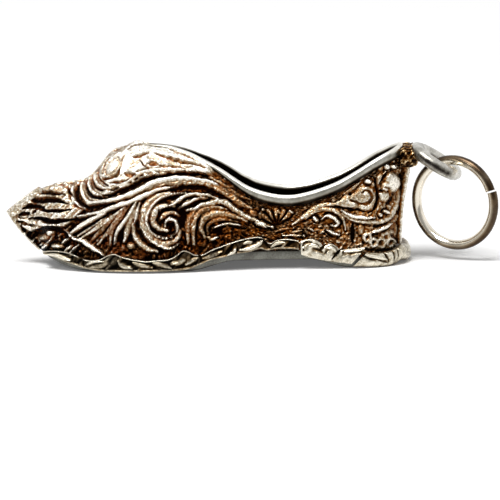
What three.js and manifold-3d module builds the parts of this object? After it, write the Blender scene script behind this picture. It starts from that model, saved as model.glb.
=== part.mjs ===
// A hollow slipper charm in silver: two struck half shells soldered along the toe and heel seam,
// a sole plate, a rim strip round the foot opening, five leaf strips round the sole edge,
// a heel loop with its lump of solder, and a cut jump ring that swings in the loop.
// Millimetres. The toe points to -X, the floor is Z = 0 and the slipper's own left is -Y.
// The origin is the middle of the part's footprint box on the floor.
import * as THREE from "three";
import { mergeVertices } from "three/addons/utils/BufferGeometryUtils.js";
import Module from "manifold-3d";

const wasm = await Module();
wasm.setup();

const { clamp, degToRad, lerp, smoothstep } = THREE.MathUtils;

// Driving dimensions of the slipper.
const shoeLength = 29.6; // toe point to the back of the wall at the heel top
const ballWidth = 9.0; // sole plate at its widest
const waistWidth = 6.6; // sole plate at the waist
const heelWidth = 6.3; // sole plate at the heel seat
const openingWidth = 6.2; // foot opening, over the walls
const toeHeight = 4.0; // toe point above the floor
const vampHeight = 8.7; // wall at the throat of the opening
const dipHeight = 4.65; // wall at the lowest part of the opening
const heelHeight = 8.1; // wall at the heel back
const wallThickness = 0.5; // struck sheet with its relief
const soleThickness = 0.75;
const soleBevel = 0.12;
const archLift = 0.66; // underside of the waist above the floor
const toeSpring = 1.2; // underside of the sole's front end above the floor

// Driving dimensions of the seam flanges.
const flangeThickness = 0.28; // each half's share of the doubled edge
const heelFlangeWidth = 0.3;
const heelFlangeFoot = 1.75; // lower end above the floor
const heelFlangeStop = 1.3; // upper end below the heel top

// Driving dimensions of the rim and the leaf strips.
const rimWidth = 0.5;
const rimHeight = 0.62; // along the sides and the heel
const rimThroatHeight = 0.32;
const rimProud = 0.12; // rim beyond the wall's outer face
const stripThickness = 0.38;
const leafSwell = 0.2; // middle of a leaf beyond the strip's own face
const leafRise = 0.24; // crest of a leaf above the strip's own edge
const foreStripHeight = 0.8;
const foreStripTipHeight = 0.45;
const quarterStripHeight = 0.95;
const quarterStripRaise = 0.38; // its front end above its back end, beside the sole
const heelStripHeight = 1.02;
const stripBreak = 0.35; // gap between two strips, along the sole edge
const stripSlant = 1.1; // lean of the break by the heel, over the strip's height

// Driving dimensions of the loop, its solder and the ring.
const loopWire = 1.1; // wire diameter
const loopLength = 3.62; // heel side to hanging side, on the wire's centre line
const loopWidth = 3.4; // across the slipper, on the wire's centre line
const loopTilt = degToRad(33);
const solderDepth = 1.0; // lump of solder below the heel side of the loop
const solderWidth = 1.6;
const ringDiameter = 7.1; // over the wire
const ringWire = 0.72; // wire diameter
const ringYaw = degToRad(-25); // the ring hangs askew in the loop
const ringCutAngle = degToRad(18); // cut above the ring's own level line
const ringCutStep = 0.16; // sideways step of the two cut ends

// Clearances.
const solderGap = 0.05; // between two soldered flat faces
const seatGap = 0.1; // between two soldered curved faces, whose facets stray from the curve
const ringPlay = 0.06; // between loop and ring where the ring hangs
const ringCutGap = 0.12; // open cut of the ring
const wallInset = 0.1; // foot of the wall inside the sole edge
const stripFloorGap = 0.05; // leaf strips above the sole's own underside

// Places along the slipper, as shares of its length from the toe point.
const soleFront = 0.08;
const ballFront = 0.21;
const throat = 0.325;
const ballBack = 0.465;
const waistFront = 0.585;
const dipFront = 0.695;
const stripNotch = 0.745;
const dipBack = 0.765;
const heelFront = 0.87;

// Facet counts.
const lastSteps = 54;
const wallSteps = 13;
const rimSteps = 72;
const loopSteps = 44;
const ringSteps = 60;
const wireSides = 12;
const leafSteps = 7;

const halfGap = solderGap / 2;

function smooth(share) {
  return smoothstep(share, 0, 1);
}

// Height of the sole's underside: flat at ball and heel seat, sprung at the toe, and raised between
// to a level arch under the waist.
function soleLift(x) {
  const share = x / shoeLength;
  if (share < ballFront) {
    return toeSpring * ((ballFront - share) / (ballFront - soleFront)) ** 1.6;
  }
  const rise = smooth((share - ballBack) / (waistFront - ballBack));
  const fall = smooth((heelFront - share) / (heelFront - dipBack));
  return archLift * rise * fall;
}

function soleTop(x) {
  return soleLift(x) + soleThickness;
}

// Height of the wall along the foot opening: high at throat and heel, with a level dip between.
function toplineHeight(share) {
  if (share < dipFront) {
    return lerp(dipHeight, vampHeight, smooth((dipFront - share) / (dipFront - throat)));
  }
  return lerp(dipHeight, heelHeight, smooth((share - dipBack) / (1 - dipBack)));
}

// Stations of the sole edge on the left, toe to heel back: share of length, half width.
const soleStations = [
  [soleFront, 0],
  [0.112, 0.2 * ballWidth],
  [0.18, 0.36 * ballWidth],
  [0.262, 0.46 * ballWidth],
  [0.345, 0.5 * ballWidth],
  [0.395, 0.5 * ballWidth],
  [0.452, 0.48 * ballWidth],
  [0.54, 0.25 * (ballWidth + waistWidth)],
  [0.635, 0.52 * waistWidth],
  [stripNotch, 0.5 * waistWidth],
  [0.83, 0.5 * heelWidth],
  [0.925, 0.43 * heelWidth],
  [0.968, 0.25 * heelWidth],
  [0.984, 0],
];

// Stations of the vamp's ridge above the first of them: share of length, share of its rise.
const ridgeStations = [
  [0.028, 0.05],
  [0.082, 0.37],
  [0.178, 0.48],
  [0.258, 0.91],
  [throat, 1],
];

// Stations of the opening's edge above the others: share of length, half width.
const openingStations = [
  [throat, 0],
  [0.346, 0.23 * openingWidth],
  [0.43, 0.38 * openingWidth],
  [0.528, 0.465 * openingWidth],
  [0.63, 0.5 * openingWidth],
  [0.717, 0.5 * openingWidth],
  [0.825, 0.485 * openingWidth],
  [0.935, 0.41 * openingWidth],
  [0.984, 0.23 * openingWidth],
  [1, 0],
];

const throatStation = ridgeStations.length - 1;
const heelStation = soleStations.length - 1;
const lastStation = 2 * heelStation;

// Left-hand points followed by their mirror images, so that the curve rounds the heel smoothly.
function withMirror(left, mirrorFrom) {
  const right = left.slice(mirrorFrom, -1).reverse().map((p) => new THREE.Vector3(p.x, -p.y, p.z));
  return [...left, ...right];
}

const solePoints = soleStations.map(([share, half]) => new THREE.Vector3(share * shoeLength, -half, 0));
const ridgePoints = ridgeStations.map(([share, rise]) => {
  return new THREE.Vector3(share * shoeLength, 0, lerp(toeHeight, vampHeight, rise));
});
const openingPoints = openingStations.map(([share, half]) => {
  return new THREE.Vector3(share * shoeLength, -half, toplineHeight(share));
});
const soleRail = new THREE.CatmullRomCurve3(withMirror(solePoints, 0), false, "centripetal");
const ridgeRail = new THREE.CatmullRomCurve3(ridgePoints, false, "centripetal");
const openingRail = new THREE.CatmullRomCurve3(withMirror(openingPoints, 1), true, "centripetal");

// Place on the opening's closed rail of a station number, which may lie between two stations.
function openingShare(station) {
  return (station - throatStation) / (lastStation - 2 * throatStation);
}

// Crown of the wall: the ridge of the vamp as far as the throat, then the edge of the opening.
function crownAt(station) {
  if (station < throatStation) {
    return ridgeRail.getPoint(station / throatStation);
  }
  return openingRail.getPoint(openingShare(station));
}

// Direction across a rail, level and away from the inside of the slipper.
function outwardAt(rail, share) {
  const tangent = rail.getTangent(clamp(share, 0, 1));
  return new THREE.Vector3(tangent.y, -tangent.x, 0).normalize();
}

// Point of the sole edge at a station, moved outward by a distance.
function soleEdge(station, out) {
  const share = clamp(station / lastStation, 0, 1);
  return soleRail.getPoint(share).addScaledVector(outwardAt(soleRail, share), out);
}

// Outer skin of the wall. Across the slipper it follows an ellipse about the middle plane,
// which is cut off where it meets the crown; a wall wider at the crown leans out instead.
function skinPoint(station, rise) {
  const steepest = 0.985;
  const foot = soleEdge(station, -wallInset);
  foot.z = soleTop(foot.x) + seatGap;
  const crown = crownAt(station);
  const up = Math.sin((rise * Math.PI) / 2);
  const ratio = foot.y === 0 ? 0 : clamp(crown.y / foot.y, 0, steepest);
  const ellipse = foot.y * Math.sqrt(1 - up * up * (1 - ratio * ratio));
  const y = ellipse + (crown.y - foot.y * ratio) * up;
  return new THREE.Vector3(lerp(foot.x, crown.x, up), y, lerp(foot.z, crown.z, up));
}

// Outward direction of the skin, from its neighbours each way.
function skinNormal(station, rise) {
  const step = 0.02;
  const along = skinPoint(station + step, rise).sub(skinPoint(Math.max(station - step, 0), rise));
  const up = skinPoint(station, Math.min(rise + step, 1)).sub(skinPoint(station, Math.max(rise - step, 0)));
  return along.cross(up).normalize();
}

// Outer and inner face of the left wall, which stop short of the seam plane.
function outerPoint(station, rise) {
  const point = skinPoint(station, rise);
  point.y = Math.min(point.y, -halfGap);
  return point;
}

function innerPoint(station, rise) {
  const outer = outerPoint(station, rise);
  const inner = outer.clone().addScaledVector(skinNormal(station, rise), -wallThickness);
  inner.y = Math.min(inner.y, -halfGap);
  inner.z = rise === 0 ? outer.z : Math.min(inner.z, crownAt(station).z);
  return inner;
}

// Closed mesh from a list of points and one of triangles; coincident points become one.
function closedGeometry(points, triangles) {
  const loose = new THREE.BufferGeometry();
  loose.setFromPoints(points);
  loose.setIndex(triangles.flat());
  const geometry = mergeVertices(loose, 1e-4);
  const index = geometry.getIndex().array;
  const kept = [];
  for (let i = 0; i < index.length; i += 3) {
    const [a, b, c] = index.slice(i, i + 3);
    if (a !== b && b !== c && c !== a) {
      kept.push(a, b, c);
    }
  }
  geometry.setIndex(kept);
  return geometry;
}

// Loft through sections of equal point counts, each clockwise seen along the direction of travel.
function loft(sections, closed) {
  const size = sections[0].length;
  const triangles = [];
  const spans = closed ? sections.length : sections.length - 1;
  for (let i = 0; i < spans; i += 1) {
    const here = i * size;
    const next = ((i + 1) % sections.length) * size;
    for (let k = 0; k < size; k += 1) {
      const m = (k + 1) % size;
      triangles.push([here + k, here + m, next + m], [here + k, next + m, next + k]);
    }
  }
  if (!closed) {
    const end = (sections.length - 1) * size;
    for (let k = 1; k < size - 1; k += 1) {
      triangles.push([0, k + 1, k], [end, end + k, end + k + 1]);
    }
  }
  return closedGeometry(sections.flat(), triangles);
}

function toSolid(geometry) {
  const bare = geometry.clone();
  bare.deleteAttribute("normal");
  bare.deleteAttribute("uv");
  const merged = mergeVertices(bare, 1e-4);
  const mesh = new wasm.Mesh({
    numProp: 3,
    vertProperties: new Float32Array(merged.getAttribute("position").array),
    triVerts: new Uint32Array(merged.getIndex().array),
  });
  return new wasm.Manifold(mesh);
}

function toGeometry(solid) {
  const mesh = solid.getMesh();
  const geometry = new THREE.BufferGeometry();
  geometry.setAttribute("position", new THREE.BufferAttribute(mesh.vertProperties, mesh.numProp));
  geometry.setIndex(new THREE.BufferAttribute(mesh.triVerts, 1));
  return geometry;
}

// The same piece for the right-hand side.
function mirrored(geometry) {
  const copy = geometry.clone().scale(1, -1, 1);
  const index = copy.getIndex();
  for (let i = 0; i < index.count; i += 3) {
    const second = index.getX(i + 1);
    index.setX(i + 1, index.getX(i + 2));
    index.setX(i + 2, second);
  }
  return copy;
}

// The struck wall of the left half, as one closed skin of outer face, inner face and four edges.
function wallGeometry() {
  const points = [];
  const rows = wallSteps + 1;
  for (const face of [outerPoint, innerPoint]) {
    for (let i = 0; i <= lastSteps; i += 1) {
      for (let j = 0; j <= wallSteps; j += 1) {
        points.push(face((i / lastSteps) * heelStation, j / wallSteps));
      }
    }
  }
  const outer = (i, j) => i * rows + j;
  const inner = (i, j) => points.length / 2 + i * rows + j;
  const triangles = [];
  const quad = (a, b, c, d) => triangles.push([a, b, c], [a, c, d]);
  for (let i = 0; i < lastSteps; i += 1) {
    for (let j = 0; j < wallSteps; j += 1) {
      quad(outer(i, j), outer(i + 1, j), outer(i + 1, j + 1), outer(i, j + 1));
      quad(inner(i, j), inner(i, j + 1), inner(i + 1, j + 1), inner(i + 1, j));
    }
    quad(outer(i, 0), inner(i, 0), inner(i + 1, 0), outer(i + 1, 0));
    quad(outer(i, wallSteps), outer(i + 1, wallSteps), inner(i + 1, wallSteps), inner(i, wallSteps));
  }
  for (let j = 0; j < wallSteps; j += 1) {
    quad(outer(0, j), outer(0, j + 1), inner(0, j + 1), inner(0, j));
    quad(outer(lastSteps, j), inner(lastSteps, j), inner(lastSteps, j + 1), outer(lastSteps, j + 1));
  }
  return closedGeometry(points, triangles);
}

// A flat plate on the left of the seam plane, from its outline in x and z.
function seamPlate(outline, thickness, clearance) {
  const plate = new THREE.ExtrudeGeometry(outline, { depth: thickness, bevelEnabled: false, curveSegments: 6 });
  plate.rotateX(Math.PI / 2);
  return plate.translate(0, -clearance, 0);
}

// The pointed flange of the toe seam: down the front of the sole, out to the point, back to the ridge.
function toeFlange() {
  const foot = outerPoint(0, 0);
  const tip = outerPoint(0, 1);
  const ridge = ridgePoints[1];
  const front = soleFront * shoeLength - solderGap;
  const outline = new THREE.Shape();
  outline.moveTo(foot.x + wallThickness / 2, foot.z);
  outline.lineTo(tip.x + wallThickness, tip.z);
  outline.lineTo(ridge.x, ridge.z - wallThickness);
  outline.lineTo(ridge.x, ridge.z);
  outline.quadraticCurveTo(lerp(ridge.x, 0, 0.5), lerp(ridge.z, toeHeight, 0.3), 0, toeHeight);
  outline.quadraticCurveTo(lerp(0, front, 0.38), lerp(toeHeight, toeSpring, 0.56), front, toeSpring);
  outline.lineTo(front, foot.z);
  return seamPlate(outline, flangeThickness, halfGap);
}

// Back of the heel wall in the seam plane, at a height.
function heelBackAt(z) {
  const foot = outerPoint(heelStation, 0);
  const top = outerPoint(heelStation, 1);
  return lerp(foot.x, top.x, (z - foot.z) / (top.z - foot.z));
}

function heelFlange() {
  const high = heelHeight - heelFlangeStop;
  const outline = new THREE.Shape();
  outline.moveTo(heelBackAt(heelFlangeFoot) - wallThickness / 2, heelFlangeFoot);
  outline.lineTo(heelBackAt(heelFlangeFoot) + heelFlangeWidth, heelFlangeFoot);
  outline.lineTo(heelBackAt(high) + heelFlangeWidth, high);
  outline.lineTo(heelBackAt(high) - wallThickness / 2, high);
  return seamPlate(outline, flangeThickness, halfGap);
}

function upperGeometry() {
  const flanges = toSolid(toeFlange()).add(toSolid(heelFlange()));
  return toGeometry(toSolid(wallGeometry()).add(flanges));
}

// Sole plate: sections across the slipper with a bevelled lower edge, blunt at both ends.
function soleGeometry() {
  const bluntEnd = 2 * soleBevel;
  const sections = [];
  for (let i = 0; i <= lastSteps; i += 1) {
    const edge = soleEdge((i / lastSteps) * heelStation, 0);
    const half = Math.max(-edge.y, bluntEnd);
    const low = soleLift(edge.x);
    const high = soleTop(edge.x);
    const profile = [
      [-half + soleBevel, low],
      [half - soleBevel, low],
      [half, low + soleBevel],
      [half, high],
      [-half, high],
      [-half, low + soleBevel],
    ];
    sections.push(profile.map(([y, z]) => new THREE.Vector3(edge.x, y, z)));
  }
  return loft(sections, false);
}

// Rim strip round the opening: a band with a rounded top, seated on the edge of the wall
// and thinner at the throat. Its profile gives shares of width from the outside and of height.
function rimGeometry() {
  const profile = [
    [1, 0],
    [1, 0.62],
    [0.86, 0.88],
    [0.64, 1],
    [0.36, 1],
    [0.14, 0.88],
    [0, 0.62],
    [0, 0],
  ];
  const sections = [];
  for (let i = 0; i < rimSteps; i += 1) {
    const share = i / rimSteps;
    const crown = openingRail.getPoint(share);
    const outward = outwardAt(openingRail, share);
    const along = crown.x / shoeLength;
    const height = lerp(rimThroatHeight, rimHeight, smooth((along - throat) / (dipFront - throat)));
    sections.push(profile.map(([across, up]) => {
      const point = crown.clone().addScaledVector(outward, rimProud - rimWidth * across);
      point.z += seatGap + height * up;
      return point;
    }));
  }
  return loft(sections, true);
}

// Leaf strip outside the sole edge, between two stations, with its face and crest swelling into leaves.
// Its profile gives shares of thickness, of height and of the leaf's swell.
function leafStrip({ from, to, fromSlant = 0, toSlant = 0, leaves, bottom, height }) {
  const profile = [
    [0, 0, 0],
    [0, 1, 0],
    [0.7, 1, 0.5],
    [1, 0.65, 1],
    [1, 0.2, 0.5],
    [0.75, 0, 0],
  ];
  const steps = leaves * leafSteps;
  const sections = [];
  for (let i = 0; i <= steps; i += 1) {
    const share = i / steps;
    const leaf = Math.abs(Math.sin(Math.PI * leaves * share)) ** 0.7;
    sections.push(profile.map(([out, up, swell]) => {
      const station = lerp(from + fromSlant * (up - 0.5), to + toSlant * (up - 0.5), share);
      const { x } = soleEdge(station, 0);
      const point = soleEdge(station, seatGap + stripThickness * out + leafSwell * swell * leaf);
      const crest = up === 1 ? leafRise * leaf : 0;
      point.z = soleLift(x) + bottom(x / shoeLength) + height(x / shoeLength) * up + crest;
      return point;
    }));
  }
  return loft(sections, false);
}

// Stations of the breaks between the strips, and station spans of a break and of a slant by the heel.
const notchStation = 9;
const seatStation = 10;
const heelBreakStation = seatStation + 0.6;
const seatEnds = [seatStation, seatStation + 1].map((station) => soleRail.getPoint(station / lastStation));
const stationPitch = seatEnds[0].distanceTo(seatEnds[1]);
const breakSpan = stripBreak / stationPitch;
const slantSpan = stripSlant / stationPitch;

// The fore strip covers the edge of the sole at the ball and climbs clear of it at the waist.
const foreStrip = leafStrip({
  from: 0.4,
  to: notchStation - breakSpan / 2,
  leaves: 5,
  bottom: (share) => stripFloorGap + soleThickness * smooth((share - ballBack) / (waistFront - ballBack)),
  height: (share) => {
    const grown = smooth((share - soleFront) / (ballFront - soleFront));
    return lerp(foreStripTipHeight, foreStripHeight, grown);
  },
});

// The quarter strip comes down again from the waist to the heel seat.
const quarterStrip = leafStrip({
  from: notchStation + breakSpan / 2,
  to: heelBreakStation - breakSpan / 2,
  toSlant: slantSpan,
  leaves: 2,
  bottom: (share) => {
    const lowered = smooth((share - stripNotch) / (heelFront - stripNotch));
    return stripFloorGap + quarterStripRaise * (1 - lowered);
  },
  height: () => quarterStripHeight,
});

const heelStrip = leafStrip({
  from: heelBreakStation + breakSpan / 2,
  to: lastStation - heelBreakStation - breakSpan / 2,
  fromSlant: slantSpan,
  toSlant: -slantSpan,
  leaves: 5,
  bottom: () => stripFloorGap,
  height: () => heelStripHeight,
});

// Centre of the loop's wire where it meets the heel, behind the rim.
const loopFoot = new THREE.Vector3(
  shoeLength + rimProud + seatGap + loopWire / 2,
  0,
  heelHeight + seatGap + rimHeight / 2,
);
const loopReach = new THREE.Vector3(Math.cos(loopTilt), 0, -Math.sin(loopTilt));
const loopAcross = new THREE.Vector3(0, 1, 0);
const loopCentre = loopFoot.clone().addScaledVector(loopReach, loopLength / 2);
// Centre of the loop's wire where the ring hangs, which is the axis the ring swings about.
const swingAxis = loopFoot.clone().addScaledVector(loopReach, loopLength);

// Round wire along the loop's closed oval, so that the tube has no open end.
function loopTube(diameter) {
  const corners = 16;
  const points = [];
  for (let i = 0; i < corners; i += 1) {
    const angle = (2 * Math.PI * i) / corners;
    const point = loopCentre.clone();
    point.addScaledVector(loopReach, (Math.cos(angle) * loopLength) / 2);
    point.addScaledVector(loopAcross, (Math.sin(angle) * loopWidth) / 2);
    points.push(point);
  }
  const path = new THREE.CatmullRomCurve3(points, true, "centripetal");
  return new THREE.TubeGeometry(path, loopSteps, diameter / 2, wireSides, true);
}

// Lump of solder in the corner between the heel wall and the underside of the loop,
// hollowed by the loop's own wire.
function solderGeometry() {
  const high = loopFoot.z - loopWire / 2;
  const low = high - solderDepth;
  const seat = (z) => heelBackAt(z) + solderGap;
  const outline = new THREE.Shape();
  outline.moveTo(seat(low), low);
  outline.quadraticCurveTo(loopFoot.x, lerp(low, high, 0.3), loopFoot.x + loopWire / 4, high);
  outline.lineTo(seat(high), high);
  const lump = toSolid(seamPlate(outline, solderWidth, -solderWidth / 2));
  return toGeometry(lump.subtract(toSolid(loopTube(loopWire + 2 * seatGap))));
}

// One turn of wire in the XZ plane, its two cut ends stepped apart along Y.
class RingTurn extends THREE.Curve {
  constructor(radius) {
    super();
    this.radius = radius;
  }

  getPoint(share, target = new THREE.Vector3()) {
    const open = ringCutGap / this.radius;
    const angle = ringCutAngle + open / 2 + share * (2 * Math.PI - open);
    const side = ringCutStep * (share - 0.5);
    return target.set(this.radius * Math.cos(angle), side, this.radius * Math.sin(angle));
  }
}

const ringRadius = (ringDiameter - ringWire) / 2;
const ringDrop = ringRadius - (loopWire + ringWire) / 2 - ringPlay;

function ringGeometry() {
  const section = new THREE.Shape();
  section.absarc(0, 0, ringWire / 2, 0, 2 * Math.PI);
  const ring = new THREE.ExtrudeGeometry(section, {
    steps: ringSteps,
    curveSegments: wireSides / 2,
    bevelEnabled: false,
    extrudePath: new RingTurn(ringRadius),
  });
  ring.rotateZ(ringYaw);
  return ring.translate(swingAxis.x, swingAxis.y, swingAxis.z - ringDrop);
}

const silver = new THREE.MeshStandardMaterial({ color: 0xb9b6ae, metalness: 1, roughness: 0.35 });
const patina = new THREE.MeshStandardMaterial({ color: 0x6a5644, metalness: 1, roughness: 0.55 });

const slipper = new THREE.Group();

function add(name, geometry, material) {
  const mesh = new THREE.Mesh(geometry, material);
  mesh.name = name;
  slipper.add(mesh);
}

const upper = upperGeometry();
add("upper_left", upper, patina);
add("upper_right", mirrored(upper), patina);
add("sole_plate", soleGeometry(), silver);
add("rim_strip", rimGeometry(), silver);
add("fore_strip_left", foreStrip, patina);
add("fore_strip_right", mirrored(foreStrip), patina);
add("quarter_strip_left", quarterStrip, patina);
add("quarter_strip_right", mirrored(quarterStrip), patina);
add("heel_strip", heelStrip, patina);
add("heel_loop", loopTube(loopWire), silver);
add("loop_solder", solderGeometry(), patina);
add("jump_ring", ringGeometry(), silver);

// The toe point and the far side of the ring end the part's length.
const ringReach = Math.cos(ringYaw) * ringRadius + ringWire / 2;
slipper.position.x = -(swingAxis.x + ringReach) / 2;

const charm = new THREE.Group();
charm.name = "shoe_charm";
charm.add(slipper);

export default charm;
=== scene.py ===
"""Looks of a hollow silver slipper charm, built around its packed construction.

The toe points to -X, the floor is Z = 0 and the slipper's own left, at -Y, faces the camera.
Sizes are written in millimetres, with x measured from the toe point; meshes are in metres.
"""

import logging
import math
from dataclasses import dataclass
from enum import Enum
from functools import cached_property
from typing import ClassVar

import bmesh
import bpy
import numpy as np
from mathutils import Matrix, Vector

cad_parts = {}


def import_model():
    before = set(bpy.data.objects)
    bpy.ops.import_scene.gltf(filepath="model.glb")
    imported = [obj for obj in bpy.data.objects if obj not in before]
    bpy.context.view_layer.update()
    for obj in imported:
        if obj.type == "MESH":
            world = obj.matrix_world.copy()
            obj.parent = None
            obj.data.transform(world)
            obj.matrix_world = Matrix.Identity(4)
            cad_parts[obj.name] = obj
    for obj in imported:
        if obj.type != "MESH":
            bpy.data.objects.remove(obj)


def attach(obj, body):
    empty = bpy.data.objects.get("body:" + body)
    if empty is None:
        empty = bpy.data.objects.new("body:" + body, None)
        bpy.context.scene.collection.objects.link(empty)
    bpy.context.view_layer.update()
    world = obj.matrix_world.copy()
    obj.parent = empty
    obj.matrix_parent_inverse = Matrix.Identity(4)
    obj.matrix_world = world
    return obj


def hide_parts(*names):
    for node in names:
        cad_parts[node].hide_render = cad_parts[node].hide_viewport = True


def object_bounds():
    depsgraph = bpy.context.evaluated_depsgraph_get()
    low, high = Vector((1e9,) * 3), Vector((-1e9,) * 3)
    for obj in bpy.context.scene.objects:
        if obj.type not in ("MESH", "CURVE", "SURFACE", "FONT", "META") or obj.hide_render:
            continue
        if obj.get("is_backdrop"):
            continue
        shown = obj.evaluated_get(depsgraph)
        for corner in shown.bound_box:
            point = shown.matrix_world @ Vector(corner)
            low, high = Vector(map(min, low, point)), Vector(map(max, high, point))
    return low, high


Array = np.ndarray
Pair = tuple[float, float]
Path = tuple[Pair, ...]
# Start and run of an eased step.
Zone = Pair

MM = 0.001
# The view that the tool marks are laid out in: the camera's angle down and its turn towards the heel,
# both estimates, and the seen height of the floor on the middle plane, in millimetres.
VIEW_ELEVATION = math.radians(9.5)
VIEW_YAW = math.radians(4.5)
VIEW_LIFT = 0.13

log = logging.getLogger("slipper_charm")


class Body(Enum):
    """The two bodies of the charm."""

    SLIPPER = "slipper"
    RING = "ring"


class Side(Enum):
    """The two sides of the slipper, as the sign of their y."""

    LEFT = -1
    RIGHT = 1


def smooth(share: Array | float) -> Array:
    """Eased step: 3 s squared less 2 s cubed, with s held between 0 and 1."""
    held = np.clip(share, 0.0, 1.0)
    return held * held * (3.0 - 2.0 * held)


def eased(value: Array | float, zone: Zone) -> Array:
    """Eased step of a value over a zone: its start, where the step is 0, and its run to 1, up or down."""
    return smooth((value - zone[0]) / zone[1])


def blend(first: Array | float, second: Array | float, share: Array | float) -> Array:
    """Straight mix of two values: the first at share 0, the second at share 1."""
    return first + (second - first) * share


def linear(colour: str) -> tuple[float, float, float, float]:
    """Linear colour of an sRGB hex value, by the sRGB curve.

    Args:
        colour: Six hex digits.

    Returns:
        Red, green, blue and an alpha of 1.
    """
    parts = np.array([int(colour[i : i + 2], 16) for i in (0, 2, 4)]) / 255.0
    curve = np.where(parts <= 0.04045, parts / 12.92, ((parts + 0.055) / 1.055) ** 2.4)
    return (*curve.tolist(), 1.0)


def elevation(points: Array) -> Array:
    """Places of points of the left side, or of the right side mirrored, as they look in the photograph.

    The first number is the distance behind the toe point: x times the cosine of the camera's yaw, less
    the distance from the middle plane times its sine. The second is the seen height: z times the cosine
    of the camera's elevation, less the distance towards the camera times its sine, above the seen floor.

    Args:
        points: Points in millimetres, in the last axis.

    Returns:
        Distance along and seen height, in the last axis.
    """
    off = np.abs(points[..., 1])
    along = points[..., 0] * math.cos(VIEW_YAW) - off * math.sin(VIEW_YAW)
    near = off * math.cos(VIEW_YAW) * math.sin(VIEW_ELEVATION)
    return np.stack([along, points[..., 2] * math.cos(VIEW_ELEVATION) - near + VIEW_LIFT], axis=-1)


def ripple(points: Array, size: float) -> Array:
    """Unevenness of hand work, from -1 to 1: a mean of five sine waves in odd directions.

    Args:
        points: Points in millimetres, in the last axis.
        size: Longest wave in millimetres.

    Returns:
        One number for each point.
    """
    waves = 5
    turn_start, turn_step = 0.7, 2.4
    tilt_start, tilt_rate = 0.4, 1.7
    quicken, phase = 0.37, 1.9
    total = np.zeros(points.shape[:-1])
    for k in range(waves):
        turn = turn_step * k + turn_start
        along = np.array([math.cos(turn), math.sin(turn), math.cos(tilt_rate * turn + tilt_start)])
        run = points @ along[: points.shape[-1]]
        total += np.sin(2.0 * math.pi * run * (1.0 + quicken * k) / size + phase * k)
    return total / waves


@dataclass(frozen=True)
class Rail:
    """Smooth curve through chosen points: a centripetal Catmull-Rom spline."""

    points: Array
    closed: bool = False

    def at(self, station: Array) -> Array:
        """Points of the curve at station numbers, where station k is point k.

        Between two points the curve is the cubic that meets both, with slopes from their neighbours,
        each weighed by the square root of its distance.

        Args:
            station: Station numbers, whole or between two stations.

        Returns:
            Points, in the last axis.
        """
        station = np.asarray(station, float)
        count = len(self.points)
        if self.closed:
            whole = np.floor(station).astype(int)
            p0, p1, p2, p3 = (self.points[(whole + k) % count] for k in (-1, 0, 1, 2))
        else:
            whole = np.clip(np.floor(station).astype(int), 0, count - 2)
            first = 2.0 * self.points[0] - self.points[1]
            last = 2.0 * self.points[-1] - self.points[-2]
            padded = np.vstack([first, self.points, last])
            p0, p1, p2, p3 = (padded[whole + k] for k in range(4))
        d0, d1, d2 = (
            np.sqrt(np.linalg.norm(b - a, axis=-1))[..., None] for a, b in ((p0, p1), (p1, p2), (p2, p3))
        )
        start = ((p1 - p0) / d0 - (p2 - p0) / (d0 + d1) + (p2 - p1) / d1) * d1
        end = ((p2 - p1) / d1 - (p3 - p1) / (d1 + d2) + (p3 - p2) / d2) * d1
        t = (station - whole)[..., None]
        bend = 2.0 * (p1 - p2) + start + end
        lean = 3.0 * (p2 - p1) - 2.0 * start - end
        return ((bend * t + lean) * t + start) * t + p1

    def even(self, steps: int) -> Array:
        """Points of an open curve in equal steps of station."""
        return self.at(np.linspace(0.0, len(self.points) - 1.0, steps))


def rail(path: Path) -> Rail:
    """Open rail through the points of a path."""
    return Rail(np.array(path, float))


def height_at(path: Path, along: Array) -> Array:
    """Second number of a path's curve at places given by its first, which rises along the path."""
    steps_per_point = 40
    curve = rail(path).even(steps_per_point * len(path))
    return np.interp(along, curve[:, 0], curve[:, 1])


@dataclass(frozen=True)
class Solid:
    """A closed surface in millimetres: points, blocks of faces, and wear, with painted light on some pieces,
    from 0, dark, to 1, bare.
    """

    points: Array
    faces: list[Array]
    wear_and_painted_light: Array

    def mirrored(self) -> "Solid":
        """The same surface on the other side of the middle plane."""
        return Solid(self.points * np.array([1.0, -1.0, 1.0]), self.faces, self.wear_and_painted_light)


def sweep(sections: Array, wear_and_painted_light: Array, closed: bool) -> Solid:
    """Closed surface through sections of equal counts, capped at both ends unless it closes on itself.

    Args:
        sections: Points by step, place in the section and axis.
        wear_and_painted_light: Wear by step and place in the section.
        closed: Whether the last section joins the first.

    Returns:
        The surface.
    """
    steps, size = sections.shape[:2]
    i = np.arange(steps if closed else steps - 1)[:, None]
    j = np.arange(size)[None, :]
    here = i * size
    after = ((i + 1) % steps) * size
    side = (j + 1) % size
    faces = [np.stack([here + j, after + j, after + side, here + side], axis=-1).reshape(-1, 4)]
    if not closed:
        faces.append(np.arange(size)[None, :])
        faces.append((steps - 1) * size + np.arange(size)[None, :])
    return Solid(sections.reshape(-1, 3), faces, wear_and_painted_light.reshape(-1))


def rounded_band(count: int, squareness: float) -> Array:
    """Outline of a rounded rectangle between 0 and 1 each way: an ellipse with its cosine and sine
    drawn towards their signs by a power.

    Args:
        count: Points round it.
        squareness: Power, 1 for an ellipse and towards 0 for a rectangle.

    Returns:
        Points, across and up.
    """
    angle = np.linspace(0.0, 2.0 * math.pi, count, endpoint=False)
    wave = np.stack([np.cos(angle), np.sin(angle)], axis=-1)
    return 0.5 + 0.5 * np.sign(wave) * np.abs(wave) ** squareness


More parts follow.
